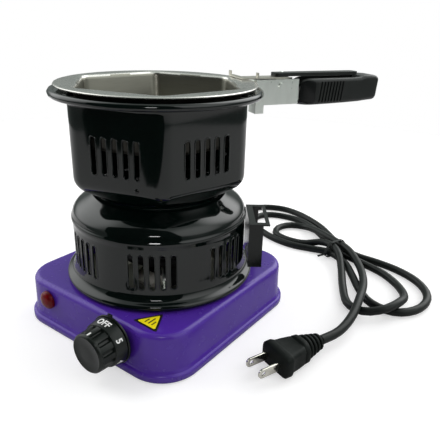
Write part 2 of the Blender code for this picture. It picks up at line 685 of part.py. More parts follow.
# ---- cord, plug and tie --------------------------------------------------------------------------
# The cord's route over the table, chosen by hand: x, y and height of its middle in millimetres, from the
# gland to the plug. The cord is folded into a figure of eight, with three folds to the left of the tie
# and two to the right, and passes over itself in low humps.
CORD_ROUTE = [
    (-45, 99.2, 17), (-45.05, 108, 16.9), (-46, 118, 14.4), (-48.2, 131, 8.4), (-51.4, 146, 4.2),
    (-55, 163, 3.4), (-58, 188, 3.4),
    (-54, 210, 3.4), (-42, 226, 3.4), (-24, 234, 3.4), (-4, 232, 3.4), (16, 224, 3.4), (36, 212, 3.4),
    (55, 195, 3.8), (75, 176.5, 4.5), (92, 171, 3.8), (112, 171, 3.4), (131, 168, 3.4), (149, 160, 3.4),
    (162, 147, 3.4), (168, 131, 3.4), (166, 113, 3.4), (157, 100, 3.4), (145, 96, 3.4), (131, 100, 3.4),
    (118, 113, 3.4), (104, 132, 3.4), (89, 150, 3.8), (70, 160, 4.5), (52, 158, 3.8), (32, 154, 3.4),
    (10, 156, 3.4), (-12, 165, 3.4), (-29, 179, 3.4), (-34, 195, 3.4), (-26, 209, 3.4), (-8, 215, 3.4),
    (11, 214, 3.4), (30, 205, 3.4), (48, 190, 3.8), (60, 178, 4.2), (73, 168.5, 4.5), (88, 163, 4.2),
    (104, 160, 3.4), (124, 153, 3.4), (141, 140, 3.6), (152, 122, 6), (154, 103, 10.1), (147.5, 87, 9),
    (134.5, 79.5, 5.8), (119, 86, 3.8), (105, 109, 3.8), (93, 133, 6), (82, 151, 10.2), (70, 163.5, 10.6),
    (56, 167, 9), (40, 163, 4.4), (22, 162, 3.4), (6.5, 167, 3.4), (0, 181.5, 3.4), (6, 196, 3.6),
    (21.5, 200.5, 4.5), (37, 191.5, 8.5), (54, 181, 10.8), (73.5, 171.5, 11.2), (87, 163, 11), (99, 150, 10.4),
    (112, 131, 10.6), (122, 109, 11.4), (128.6, 84, 12.7), (132.8, 60, 10.6), (132.3, 38.5, 9), (126.8, 21.7, 8.8),
]


def smooth_route(points, spacing):
    """Evenly spaced points along a smooth curve through a route's points."""
    dense = []
    nodes = [Vector(point) for point in points]
    count = len(nodes)
    for index in range(count - 1):
        before = nodes[max(index - 1, 0)]
        start, end = nodes[index], nodes[index + 1]
        after = nodes[min(index + 2, count - 1)]
        for step in range(24):
            dense.append(catmull_rom(before, start, end, after, step / 24))
    dense.append(nodes[-1])
    length = sum((b - a).length for a, b in zip(dense, dense[1:]))
    gaps = round(length / spacing)
    even = [dense[0]]
    target, walked = length / gaps, 0.0
    for a, b in zip(dense, dense[1:]):
        piece = (b - a).length
        while walked + piece >= target * len(even) and len(even) < gaps:
            even.append(a.lerp(b, (target * len(even) - walked) / piece))
        walked += piece
    even.append(dense[-1])
    return even


def catmull_rom(before, start, end, after, t):
    return 0.5 * ((2.0 * start) + (end - before) * t
                  + (2.0 * before - 5.0 * start + 4.0 * end - after) * t * t
                  + (3.0 * start - before - 3.0 * end + after) * t * t * t)


def cord_gland(parent):
    """Tapered strain relief in the base's back wall."""
    x, y, z = GLAND_AT
    profile = [(4.5, -4.0), (4.5, -0.6), (6.4, -0.3), (6.4, 1.6), (5.5, 1.9), (4.9, 10.0), (4.3, 18.0),
               (4.0, GLAND_LENGTH - 0.4), (3.5, GLAND_LENGTH)]
    gland = turn_builder(turned(profile, 20), "X", -90.0)
    add_mesh("cord_gland", gland, parent, "black_pvc", at=(x, y + 0.6, z))


def power_cord(parent):
    points = smooth_route(CORD_ROUTE, 6.0 * CORD_RADIUS)
    curve_tube("power_cord", points, CORD_RADIUS, 2, parent, "black_pvc")


def wrapped_outline(centres, radius, arc_steps=3):
    """Outline of a strap pulled round circles whose centres go anticlockwise round a convex shape."""
    points = []
    count = len(centres)
    for index, centre in enumerate(centres):
        before = Vector(centre) - Vector(centres[index - 1])
        after = Vector(centres[(index + 1) % count]) - Vector(centre)
        start = math.atan2(-before.x, before.y)
        end = math.atan2(-after.x, after.y)
        while end < start:
            end += TAU
        for step in range(arc_steps + 1):
            angle = start + (end - start) * step / arc_steps
            points.append(Vector(centre) + radius * Vector((math.cos(angle), math.sin(angle))))
    return points


def cord_tie(parent):
    """Twist tie round the five tied strands, three below and two above, with its twisted ends."""
    strands = [(-10.6, 4.65), (10.2, 4.65), (3.8, 11.3), (-7.2, 10.9)]
    inner = wrapped_outline(strands, CORD_RADIUS + 0.75)
    outer = wrapped_outline(strands, CORD_RADIUS + 1.25)
    half = 1.6
    rings = [[(x, point.x, point.y) for point in outline] for x, outline in
             ((-half, inner), (-half, outer), (half, outer), (half, inner))]
    tie = add_mesh("cord_tie", loft(rings, closed=True), parent, "black_pvc")
    cut(tie, block((-1.0, -24.0, 3.6), (1.0, -14.8, 5.0)), "UNION")


def plug(parent):
    """Two-blade mains plug lying on its side; +X points from its face back along the cord."""
    def section(distance, half_width, half_height, corner):
        outline = rectangle(half_width, half_height, corner, 3, 1)
        return [(distance, point.x, point.y) for point in outline]

    rings = [
        section(0.0, 12.0, 7.2, 3.6), section(1.0, 13.0, 8.2, 4.2), section(5.5, 13.0, 8.2, 4.2),
        section(8.0, 10.6, 7.2, 3.6), section(19.0, 8.4, 7.0, 4.2), section(20.0, 9.0, 8.4, 6.0),
        section(24.0, 8.6, 8.2, 6.6), section(25.0, 6.0, 6.0, 5.4),
    ]
    for rib in range(4):
        start = 25.6 + rib * 3.7
        radius = 7.2 - rib * 0.75
        rings.append(section(start, radius, radius, radius * 0.95))
        rings.append(section(start + 2.1, radius - 0.3, radius - 0.3, (radius - 0.3) * 0.95))
        rings.append(section(start + 2.3, radius - 1.6, radius - 1.6, (radius - 1.6) * 0.95))
        rings.append(section(start + 3.5, radius - 1.7, radius - 1.7, (radius - 1.7) * 0.95))
    rings.append(section(PLUG_LENGTH, 3.6, 3.6, 3.4))
    add_mesh("plug_body", loft(rings), parent, "black_pvc")
    for number, side in enumerate((-1, 1), start=1):
        outline = rectangle(8.5, 3.175, 1.6, 4, 1)
        middle = side * BLADE_SPACING / 2.0
        blade = loft([[(-8.5 - GAP + point.x, middle + y, point.y) for point in outline]
                      for y in (-0.75, 0.75)])
        piece = add_mesh(f"plug_blade_{number}", blade, parent, "nickel")
        hole = turn_builder(turned([(1.6, -12.0), (1.6, 12.0)], 14), "X", 90.0)
        bmesh.ops.translate(hole, vec=(-13.4, 0.0, 0.0), verts=hole.verts)
        cut(piece, hole)


def centre_over_origin(stand, left_out):
    """Moves the stand so that the object, without its cord, is centred over the origin."""
    bpy.context.view_layer.update()
    graph = bpy.context.evaluated_depsgraph_get()
    corners = []
    for item in bpy.data.objects:
        if item.type in {"MESH", "CURVE"} and not item.hide_render and item.name not in left_out:
            evaluated = item.evaluated_get(graph)
            shape = evaluated.to_mesh()
            corners += [evaluated.matrix_world @ corner.co for corner in shape.vertices]
            evaluated.to_mesh_clear()
    for axis in (0, 1):
        values = [corner[axis] for corner in corners]
        stand.location[axis] -= (min(values) + max(values)) / 2.0


def build():
    clear_scene()
    stand = frame_empty("stand")
    base_housing(stand)
    bottom_plate(stand)
    feet_and_screws(stand)
    drip_pan(stand)
    curve_tube("heating_coil", coil_points(), COIL_TUBE, 2, stand, "dark_steel")
    coil_support(stand)
    wiring(stand)
    lamp_lens(stand)
    knob_bezel(stand)
    caution_label(stand)
    cord_gland(stand)
    power_cord(stand)
    cord_tie(frame_empty("tie_frame", stand, (*TIE_AT, 0.0), TIE_TURN))
    plug(frame_empty("plug_frame", stand, PLUG_AT, azimuth_turn(PLUG_AZIMUTH)))
    knob(frame_empty("knob_axis", stand, (KNOB_AXIS[0], 0.0, KNOB_AXIS[1])))
    guard_skirt(stand)
    handle_rest(frame_empty("rest_frame", stand, turn=azimuth_turn(BRACKET_AZIMUTH)))
    bowl(stand)
    melting_pot(stand)
    handle = frame_empty("handle_frame", stand, turn=azimuth_turn(HANDLE_AZIMUTH))
    clip_body(handle)
    grip(handle)
    clip_pin_and_spring(handle)
    lever(frame_empty("lever_axis", handle, (LEVER_PIN[0], 0.0, LEVER_PIN[1])))
    centre_over_origin(stand, CORD_PIECES)


build()
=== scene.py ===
"""Looks for the electric melting pot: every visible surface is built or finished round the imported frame.

Sizes are in millimetres from the burner's upright axis, with the front towards -Y, as in the CAD source;
each piece is placed by the matrix of the frame that it is measured in.
"""

import math

import bmesh
import bpy
from mathutils import Matrix, Vector


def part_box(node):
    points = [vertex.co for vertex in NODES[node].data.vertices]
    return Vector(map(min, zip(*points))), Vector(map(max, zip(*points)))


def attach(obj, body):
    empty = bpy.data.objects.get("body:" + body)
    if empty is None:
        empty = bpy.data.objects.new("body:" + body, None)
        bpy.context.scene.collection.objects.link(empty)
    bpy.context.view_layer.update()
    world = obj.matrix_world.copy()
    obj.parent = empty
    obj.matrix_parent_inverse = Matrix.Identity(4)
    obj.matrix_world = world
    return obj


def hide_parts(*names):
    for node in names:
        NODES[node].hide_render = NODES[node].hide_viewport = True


MM = 0.001
TAU = 2.0 * math.pi

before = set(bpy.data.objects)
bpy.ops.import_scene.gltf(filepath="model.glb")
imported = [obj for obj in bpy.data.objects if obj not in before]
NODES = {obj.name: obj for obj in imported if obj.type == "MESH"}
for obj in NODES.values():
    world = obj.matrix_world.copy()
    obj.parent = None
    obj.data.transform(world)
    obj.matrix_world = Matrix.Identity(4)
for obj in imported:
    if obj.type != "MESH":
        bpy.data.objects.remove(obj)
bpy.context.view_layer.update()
bpy.context.scene.view_settings.view_transform = "Standard"


# ---- frames ----
def middle_of(*names):
    """Middle of the box round some CAD nodes."""
    lows, highs = zip(*(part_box(name) for name in names))
    return Vector([(min(p[i] for p in lows) + max(p[i] for p in highs)) / 2.0 for i in range(3)])


feet_middle = middle_of("foot_1", "foot_2", "foot_3", "foot_4")
AXIS = Matrix.Translation((feet_middle.x, feet_middle.y, 0.0))


def frame_at(x=0.0, y=0.0, z=0.0, turn=0.0, tip=0.0):
    """A frame at a point in millimetres, turned about +Z and then tipped about its own +X, in degrees."""
    return (AXIS @ Matrix.Translation(Vector((x, y, z)) * MM)
            @ Matrix.Rotation(math.radians(turn), 4, "Z") @ Matrix.Rotation(math.radians(tip), 4, "X"))


HANDLE = frame_at(turn=60.0)                      # +X outwards along the handle
KNOB = frame_at(29.0, 0.0, 21.8, tip=90.0)        # +Z out of the front, +Y up
LAMP = frame_at(-39.5, 0.0, 22.5, tip=90.0)
GLAND = frame_at(-45.0, 74.6, 17.0, tip=-90.0)    # +Z out of the back
PLUG = frame_at(112.4, -17.1, 8.8, turn=69.7)     # +X from the plug's face back along the cord
TIE = frame_at(72.5, 168.0, 0.0, turn=-21.7)


# ---- camera and light ----
CAMERA_AT = (234.916, -250.897, 213.695)
CAMERA_AZIMUTH, CAMERA_ELEVATION, CAMERA_ROLL = 35.75, 22.59, 1.70    # degrees
CAMERA_LENS = 40.854


def link(tree, source, target):
    tree.links.new(source, target)


def new_object(name, data):
    made = bpy.data.objects.new(name, data)
    bpy.context.collection.objects.link(made)
    return made


def make_camera():
    """The camera, from its place, the directions of its view and its roll."""
    azimuth, elevation, roll = (math.radians(angle) for angle in
                                (CAMERA_AZIMUTH, CAMERA_ELEVATION, CAMERA_ROLL))
    forward = Vector((-math.sin(azimuth) * math.cos(elevation), math.cos(azimuth) * math.cos(elevation),
                      -math.sin(elevation)))
    level_right = forward.cross(Vector((0.0, 0.0, 1.0))).normalized()
    level_up = level_right.cross(forward)
    right = math.cos(roll) * level_right + math.sin(roll) * level_up
    up = right.cross(forward)
    data = bpy.data.cameras.new("camera")
    data.sensor_width = 36.0
    data.lens = CAMERA_LENS
    data.clip_start = 0.01
    camera = new_object("camera", data)
    place = Matrix((right, up, -forward)).transposed().to_4x4()
    camera.matrix_world = AXIS @ Matrix.Translation(Vector(CAMERA_AT) * MM) @ place
    bpy.context.scene.camera = camera


def area_light(name, at, aim, size, watts, mirrored=False):
    """A rectangular light that the camera never sees, and that gloss shows only when mirrored is set."""
    data = bpy.data.lights.new(name, "AREA")
    data.shape = "RECTANGLE"
    data.size, data.size_y = size
    data.energy = watts
    light = new_object(name, data)
    place = Vector(at)
    light.location = place
    light.rotation_euler = (Vector(aim) - place).to_track_quat("-Z", "Y").to_euler()
    light.visible_camera = False
    light.visible_glossy = mirrored
    return light


# Soft bright areas of the room that gloss mirrors: direction, cosine where each starts, strength.
GLOWS = [
    ((-0.95, -0.20, 0.55), 0.74, 1.9),
    ((0.15, 0.80, 0.60), 0.80, 3.4),
    ((1.0, 0.10, 0.72), 0.75, 1.2),
]


def soft_glow(tree, coordinates, below, towards, start, strength):
    """Adds to the background below one glow that fades smoothly away from its direction."""
    facing = tree.nodes.new("ShaderNodeVectorMath")
    facing.operation = "DOT_PRODUCT"
    link(tree, coordinates.outputs["Generated"], facing.inputs[0])
    facing.inputs[1].default_value = towards
    fade = tree.nodes.new("ShaderNodeMapRange")
    fade.interpolation_type = "SMOOTHERSTEP"
    fade.inputs["From Min"].default_value = start
    fade.inputs["To Max"].default_value = strength
    link(tree, facing.outputs["Value"], fade.inputs["Value"])
    glow = tree.nodes.new("ShaderNodeBackground")
    link(tree, fade.outputs["Result"], glow.inputs["Strength"])
    both = tree.nodes.new("ShaderNodeAddShader")
    link(tree, below.outputs[0], both.inputs[0])
    link(tree, glow.outputs[0], both.inputs[1])
    return both


def background(tree, strength):
    node = tree.nodes.new("ShaderNodeBackground")
    node.inputs["Color"].default_value = (1.0, 1.0, 1.0, 1.0)
    node.inputs["Strength"].default_value = strength
    return node


def pick(tree, path, ray, otherwise, wanted):
    """Shader wanted for the rays named, and otherwise the other one."""
    mix = tree.nodes.new("ShaderNodeMixShader")
    link(tree, path.outputs[ray], mix.inputs["Fac"])
    link(tree, otherwise.outputs[0], mix.inputs[1])
    link(tree, wanted.outputs[0], mix.inputs[2])
    return mix


def make_world():
    """White to the camera; gloss mirrors a dimmer room with a bright ceiling and soft glows."""
    world = bpy.data.worlds.new("studio")
    bpy.context.scene.world = world
    world.use_nodes = True
    tree = world.node_tree
    tree.nodes.clear()
    coordinates = tree.nodes.new("ShaderNodeTexCoord")
    split = tree.nodes.new("ShaderNodeSeparateXYZ")
    link(tree, coordinates.outputs["Generated"], split.inputs[0])
    ramp = tree.nodes.new("ShaderNodeValToRGB")
    ramp.color_ramp.elements[0].position = 0.02
    ramp.color_ramp.elements[0].color = (0.21, 0.235, 0.225, 1.0)
    ramp.color_ramp.elements[1].position = 0.75
    ramp.color_ramp.elements[1].color = (0.71, 0.78, 0.75, 1.0)
    link(tree, split.outputs["Z"], ramp.inputs["Fac"])
    lit = background(tree, 0.85)
    link(tree, ramp.outputs["Color"], lit.inputs["Color"])
    for towards, narrow, strength in GLOWS:
        lit = soft_glow(tree, coordinates, lit, Vector(towards).normalized(), narrow, strength)
    path = tree.nodes.new("ShaderNodeLightPath")
    mirrored = pick(tree, path, "Is Glossy Ray", background(tree, 0.40), lit)
    mix = pick(tree, path, "Is Camera Ray", mirrored, background(tree, 1.0))
    output = tree.nodes.new("ShaderNodeOutputWorld")
    link(tree, mix.outputs[0], output.inputs["Surface"])


# ---- materials ----
def surface(name, colour, metallic=0.0, roughness=0.3, coat=0.0, spread=0.08, grain=120.0, stretch=(1, 1, 1),
            rough_spread=0.2, bump=0.05, bump_grain=900.0, bump_depth=0.02, specular=0.5, edge=None):
    """A finish whose colour, roughness and height all vary with noise; edge paints a lighter highlight
    colour onto convex edges.
    """
    made = bpy.data.materials.new(name)
    made.use_nodes = True
    tree = made.node_tree
    shader = tree.nodes["Principled BSDF"]
    shader.inputs["Metallic"].default_value = metallic
    shader.inputs["Coat Weight"].default_value = coat
    shader.inputs["Coat Roughness"].default_value = 0.04
    shader.inputs["Specular IOR Level"].default_value = specular
    coordinates = tree.nodes.new("ShaderNodeTexCoord")
    mapping = tree.nodes.new("ShaderNodeMapping")
    mapping.inputs["Scale"].default_value = stretch
    link(tree, coordinates.outputs["Object"], mapping.inputs["Vector"])

    def noise(scale, detail):
        node = tree.nodes.new("ShaderNodeTexNoise")
        node.inputs["Scale"].default_value = scale
        node.inputs["Detail"].default_value = detail
        link(tree, mapping.outputs["Vector"], node.inputs["Vector"])
        return node

    tone = tree.nodes.new("ShaderNodeValToRGB")
    for place, factor in ((0, 1.0 - spread), (1, 1.0 + spread)):
        tone.color_ramp.elements[place].position = 0.3 + 0.4 * place
        tone.color_ramp.elements[place].color = (*(min(c * factor, 1.0) for c in colour), 1.0)
    link(tree, noise(grain, 4.0).outputs["Fac"], tone.inputs["Fac"])
    base = tone.outputs["Color"]
    # Painted highlight: the edge colour is mixed in where the surface is convex, by pointiness.
    if edge:
        geometry = tree.nodes.new("ShaderNodeNewGeometry")
        edge_highlight = tree.nodes.new("ShaderNodeMapRange")
        edge_highlight.inputs["From Min"].default_value = 0.52
        edge_highlight.inputs["From Max"].default_value = 0.62
        edge_highlight.inputs["To Max"].default_value = 0.6
        link(tree, geometry.outputs["Pointiness"], edge_highlight.inputs["Value"])
        mix = tree.nodes.new("ShaderNodeMix")
        mix.data_type = "RGBA"
        link(tree, edge_highlight.outputs["Result"], mix.inputs["Factor"])
        link(tree, base, mix.inputs[6])
        mix.inputs[7].default_value = (*edge, 1.0)
        base = mix.outputs[2]
    link(tree, base, shader.inputs["Base Color"])
    shine = tree.nodes.new("ShaderNodeMapRange")
    shine.inputs["To Min"].default_value = roughness * (1.0 - rough_spread)
    shine.inputs["To Max"].default_value = roughness * (1.0 + rough_spread)
    link(tree, noise(grain * 2.3, 3.0).outputs["Fac"], shine.inputs["Value"])
    link(tree, shine.outputs["Result"], shader.inputs["Roughness"])
    height = tree.nodes.new("ShaderNodeBump")
    height.inputs["Strength"].default_value = bump
    height.inputs["Distance"].default_value = bump_depth * MM
    link(tree, noise(bump_grain, 2.0).outputs["Fac"], height.inputs["Height"])
    link(tree, height.outputs["Normal"], shader.inputs["Normal"])
    return made


# How each finish differs from surface()'s own values.
LOOKS = {
    # The purple paint's edge colour is a painted highlight along the base's convex edges.
    "purple_paint": dict(colour=(0.066, 0.0200, 0.300), roughness=0.26, specular=0.42, grain=60.0,
                         spread=0.03, bump=0.10, bump_grain=650.0, bump_depth=0.02,
                         edge=(0.13, 0.08, 0.36)),
    "black_enamel": dict(colour=(0.0010, 0.0032, 0.0026), roughness=0.07, grain=40.0, spread=0.25,
                         bump=0.10, bump_grain=140.0, bump_depth=0.06),
    "enamel_satin": dict(colour=(0.002, 0.0035, 0.003), roughness=0.16, specular=0.35, grain=90.0,
                         spread=0.2, bump=0.2, bump_grain=700.0),
    "black_plastic": dict(colour=(0.006, 0.0078, 0.0070), roughness=0.38, specular=0.40, grain=180.0,
                          spread=0.18, bump=0.35, bump_grain=2200.0, bump_depth=0.02),
    "knob_plastic": dict(colour=(0.006, 0.0085, 0.0072), roughness=0.30, specular=0.30, grain=150.0,
                         spread=0.2, bump=0.25, bump_grain=1800.0, bump_depth=0.02),
    "gloss_mouth": dict(colour=(0.003, 0.004, 0.004), roughness=0.25, grain=60.0, bump=0.1, specular=0.25),
    "black_pvc": dict(colour=(0.005, 0.0068, 0.006), roughness=0.38, specular=0.24, grain=260.0, spread=0.2,
                      bump=0.3, bump_grain=1400.0, bump_depth=0.03),
    "plug_rubber": dict(colour=(0.005, 0.0068, 0.006), roughness=0.52, specular=0.12, grain=200.0,
                        spread=0.15, bump=0.3, bump_grain=1200.0, bump_depth=0.02),
    # Painted shade: a darker copy of the steel, for the pot's inside walls and for the drip pan under the
    # coil.
    "satin_steel": dict(colour=(0.27, 0.265, 0.226), metallic=1.0, roughness=0.36, grain=70.0, spread=0.05,
                        rough_spread=0.25, stretch=(1, 1, 9), bump=0.15, bump_grain=420.0, bump_depth=0.01),
    "flange_steel": dict(colour=(0.68, 0.665, 0.63), metallic=1.0, roughness=0.26, grain=90.0, spread=0.05,
                         bump=0.12, bump_grain=500.0, bump_depth=0.01),
    # Painted shade: a much darker copy of the same steel, for the pot's outside within the bowl.
    "shaded_pot_outside": dict(colour=(0.075, 0.072, 0.062), metallic=0.8, roughness=0.42, grain=80.0, spread=0.25,
                        bump=0.15, bump_grain=500.0, bump_depth=0.01),
    "plated_steel": dict(colour=(0.93, 0.96, 0.91), metallic=1.0, roughness=0.30, grain=60.0, spread=0.04,
                         stretch=(8, 1, 1), bump=0.1, bump_grain=700.0, bump_depth=0.01),
    "jaw_steel": dict(colour=(0.62, 0.60, 0.53), metallic=1.0, roughness=0.36, grain=90.0, spread=0.07,
                      bump=0.2, bump_grain=900.0, bump_depth=0.015),
    "dark_steel": dict(colour=(0.055, 0.054, 0.056), metallic=0.7, roughness=0.48, grain=160.0, spread=0.3,
                       bump=0.5, bump_grain=1500.0, bump_depth=0.03),
    "ceramic": dict(colour=(0.72, 0.70, 0.63), roughness=0.55, grain=200.0, bump=0.4),
    "rubber": dict(colour=(0.02, 0.02, 0.02), roughness=0.8, grain=200.0, bump=0.4),
    "nickel": dict(colour=(0.80, 0.78, 0.70), metallic=1.0, roughness=0.22, grain=200.0, spread=0.07,
                   bump=0.15, bump_grain=900.0, bump_depth=0.01),
    "yellow_print": dict(colour=(0.86, 0.73, 0.012), roughness=0.32, grain=300.0, bump=0.1),
    "black_print": dict(colour=(0.012, 0.011, 0.010), roughness=0.35, grain=300.0, bump=0.1),
    "white_print": dict(colour=(0.86, 0.87, 0.85), roughness=0.5, grain=300.0, bump=0.1),
    "lamp_holder": dict(colour=(0.35, 0.10, 0.05), roughness=0.3, grain=200.0),
}


def make_finishes():
    """All the finishes, by name."""
    made = {name: surface(name, **look) for name, look in LOOKS.items()}
    lens = surface("red_lens", (0.13, 0.0012, 0.003), roughness=0.22, specular=0.2, grain=260.0, spread=0.25,
                   bump=0.3, bump_grain=500.0, bump_depth=0.05)
    shader = lens.node_tree.nodes["Principled BSDF"]
    shader.inputs["Transmission Weight"].default_value = 0.15
    shader.inputs["Subsurface Weight"].default_value = 0.2
    shader.inputs["Subsurface Radius"].default_value = (0.003, 0.0005, 0.0004)
    made["red_lens"] = lens
    return made


FINISH = make_finishes()


# ---- mesh helpers ----
def add_mesh(name, builder, place, finish, sharp_degrees=35.0):
    """A new object from a bmesh in millimetres, measured in the frame place."""
    bmesh.ops.remove_doubles(builder, verts=builder.verts, dist=1e-4)
    bmesh.ops.recalc_face_normals(builder, faces=builder.faces)
    bmesh.ops.scale(builder, vec=(MM, MM, MM), verts=builder.verts)
    mesh = bpy.data.meshes.new(name)
    builder.to_mesh(mesh)
    builder.free()
    piece = new_object(name, mesh)
    piece.matrix_world = place
    if finish:
        mesh.materials.append(FINISH[finish])
    smooth(piece, sharp_degrees)
    return piece


def smooth(piece, sharp_degrees):
    piece.data.shade_smooth()
    piece.data.set_sharp_from_angle(angle=math.radians(sharp_degrees))


def settle(piece, sharp_degrees=35.0):
    """Applies a piece's modifiers, and removes the cutters that they used."""
    bpy.context.view_layer.update()
    graph = bpy.context.evaluated_depsgraph_get()
    cutters = [modifier.object for modifier in piece.modifiers if modifier.type == "BOOLEAN"]
    mesh = bpy.data.meshes.new_from_object(piece.evaluated_get(graph))
    piece.modifiers.clear()
    piece.data = mesh
    for cutter in cutters:
        bpy.data.objects.remove(cutter, do_unlink=True)
    smooth(piece, sharp_degrees)
    return piece


def cut(piece, builder, operation="DIFFERENCE"):
    cutter = add_mesh(piece.name + "_cutter", builder, piece.matrix_world, None)
    cutter.hide_render = True
    modifier = piece.modifiers.new("cut", "BOOLEAN")
    modifier.operation = operation
    modifier.solver = "EXACT"
    modifier.object = cutter


def bevel(piece, width, segments=2, angle=30.0):
    """Rounds a piece's sharp edges; width in millimetres."""
    modifier = piece.modifiers.new("round", "BEVEL")
    modifier.width = width * MM
    modifier.segments = segments
    modifier.limit_method = "ANGLE"
    modifier.angle_limit = math.radians(angle)
    modifier.use_clamp_overlap = True
    modifier.harden_normals = False
    return piece


def finish_piece(piece, body, slot, *nodes):
    """Says what a piece rides on and which CAD nodes it stands for; the slot argument is not used."""
    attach(piece, body)
    if nodes:
        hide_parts(*nodes)
    return piece


def rounded_polygon(apothems, corner, arc_steps, flat_steps, turn=0.0):
    """Corner points of a polygon with rounded corners, anticlockwise; side i faces turn + i*360/n."""
    sides = len(apothems)
    points = []
    for side in range(sides):
        n0 = math.radians(turn) + TAU * side / sides
        n1 = n0 + TAU / sides
        a0, a1 = apothems[side] - corner, apothems[(side + 1) % sides] - corner
        cross = math.sin(n1 - n0)
        centre = Vector(((a0 * math.sin(n1) - a1 * math.sin(n0)) / cross,
                         (a1 * math.cos(n0) - a0 * math.cos(n1)) / cross))
        for step in range(arc_steps + 1):
            angle = n0 + (n1 - n0) * step / arc_steps
            points.append(centre + corner * Vector((math.cos(angle), math.sin(angle))))
    spread = []
    for index, point in enumerate(points):
        spread.append(point)
        if index % (arc_steps + 1) == arc_steps:
            following = points[(index + 1) % len(points)]
            spread += [point.lerp(following, step / flat_steps) for step in range(1, flat_steps)]
    return spread


def rectangle(half_x, half_y, corner, arc_steps=6, flat_steps=1):
    return rounded_polygon([half_x, half_y, half_x, half_y], corner, arc_steps, flat_steps)


def hexagon(apothem, corner):
    return rounded_polygon([apothem] * 6, corner, 10, 6, -75.0)


def circle_like(outline, radius):
    return [point.normalized() * radius for point in outline]


def circle(radius, count):
    return [Vector((radius * math.cos(TAU * i / count), radius * math.sin(TAU * i / count)))
            for i in range(count)]


def level(outline, height):
    return [(point.x, point.y, height) for point in outline]


def loft(rings, closed=False):
    """Skin between rings of equal count; closed joins last to first, otherwise both ends are capped."""
    builder = bmesh.new()
    layers = [[builder.verts.new(point) for point in ring] for ring in rings]
    pairs = list(zip(layers, layers[1:]))
    if closed:
        pairs.append((layers[-1], layers[0]))
    for lower, upper in pairs:
        for index in range(len(lower)):
            after = (index + 1) % len(lower)
            builder.faces.new((lower[index], lower[after], upper[after], upper[index]))
    if not closed:
        builder.faces.new(list(reversed(layers[0])))
        builder.faces.new(layers[-1])
    return builder


def turned(profile, count, closed=False):
    return loft([level(circle(radius, count), height) for radius, height in profile], closed)


def block(low, high):
    builder = bmesh.new()
    bmesh.ops.create_cube(builder, size=1.0)
    bmesh.ops.scale(builder, vec=Vector(high) - Vector(low), verts=builder.verts)
    bmesh.ops.translate(builder, vec=(Vector(high) + Vector(low)) / 2.0, verts=builder.verts)
    return builder


def turn_builder(builder, axis, degrees):
    bmesh.ops.rotate(builder, cent=(0.0, 0.0, 0.0), verts=builder.verts,
                     matrix=Matrix.Rotation(math.radians(degrees), 3, axis))
    return builder


def joined(builders):
    whole = bmesh.new()
    for builder in builders:
        piece = bpy.data.meshes.new("part")
        builder.to_mesh(piece)
        builder.free()
        whole.from_mesh(piece)
        bpy.data.meshes.remove(piece)
    return whole


def arc(centre, radius, start, end, steps):
    return [(centre[0] + radius * math.cos(math.radians(start + (end - start) * step / steps)),
             centre[1] + radius * math.sin(math.radians(start + (end - start) * step / steps)))
            for step in range(steps + 1)]


def catmull_rom(before, start, end, after, t):
    return 0.5 * ((2.0 * start) + (end - before) * t
                  + (2.0 * before - 5.0 * start + 4.0 * end - after) * t * t
                  + (3.0 * start - before - 3.0 * end + after) * t * t * t)


def smoothed(points, steps):
    """Points along a smooth curve through the given ones, ends included."""
    nodes = [Vector(point) for point in points]
    last = len(nodes) - 1
    made = []
    for index in range(last):
        for step in range(steps):
            made.append(catmull_rom(nodes[max(index - 1, 0)], nodes[index], nodes[index + 1],
                                    nodes[min(index + 2, last)], step / steps))
    made.append(nodes[-1])
    return made


def smooth_route(points, spacing):
    """Evenly spaced points along a smooth curve through a route's points."""
    dense = smoothed(points, 24)
    length = sum((b - a).length for a, b in zip(dense, dense[1:]))
    gaps = round(length / spacing)
    even = [dense[0]]
    target, walked = length / gaps, 0.0
    for a, b in zip(dense, dense[1:]):
        piece = (b - a).length
        while walked + piece >= target * len(even) and len(even) < gaps:
            even.append(a.lerp(b, (target * len(even) - walked) / piece))
        walked += piece
    even.append(dense[-1])
    return even, length


def ring_tube(path, radius, around=6):
    """A closed tube along a closed path of points."""
    count = len(path)
    builder = bmesh.new()
    layers = []
    for index, point in enumerate(path):
        along = (path[(index + 1) % count] - path[index - 1]).normalized()
        out = Vector((point.x, point.y, 0.0)).normalized()
        side = along.cross(out).normalized()
        lift = side.cross(along).normalized()
        layers.append([builder.verts.new(point + radius * (math.cos(TAU * k / around) * side
                                                           + math.sin(TAU * k / around) * lift))
                       for k in range(around)])
    for index in range(count):
        here, there = layers[index], layers[(index + 1) % count]
        for k in range(around):
            after = (k + 1) % around
            builder.faces.new((here[k], here[after], there[after], there[k]))
    return builder


def tube(name, points, radius, place, finish, resolution=4):
    """A round cord or wire through points in millimetres, with closed ends."""
    data = bpy.data.curves.new(name, "CURVE")
    data.dimensions = "3D"
    data.bevel_depth = radius * MM
    data.bevel_resolution = resolution
    data.use_fill_caps = True
    spline = data.splines.new("POLY")
    spline.points.add(len(points) - 1)
    for point, target in zip(points, spline.points):
        target.co = (*(Vector(point) * MM), 1.0)
    spline.use_smooth = True
    data.materials.append(FINISH[finish])
    made = new_object(name, data)
    made.matrix_world = place
    return made


# ---- cord, plug and tie ----
CORD_RADIUS = 3.3
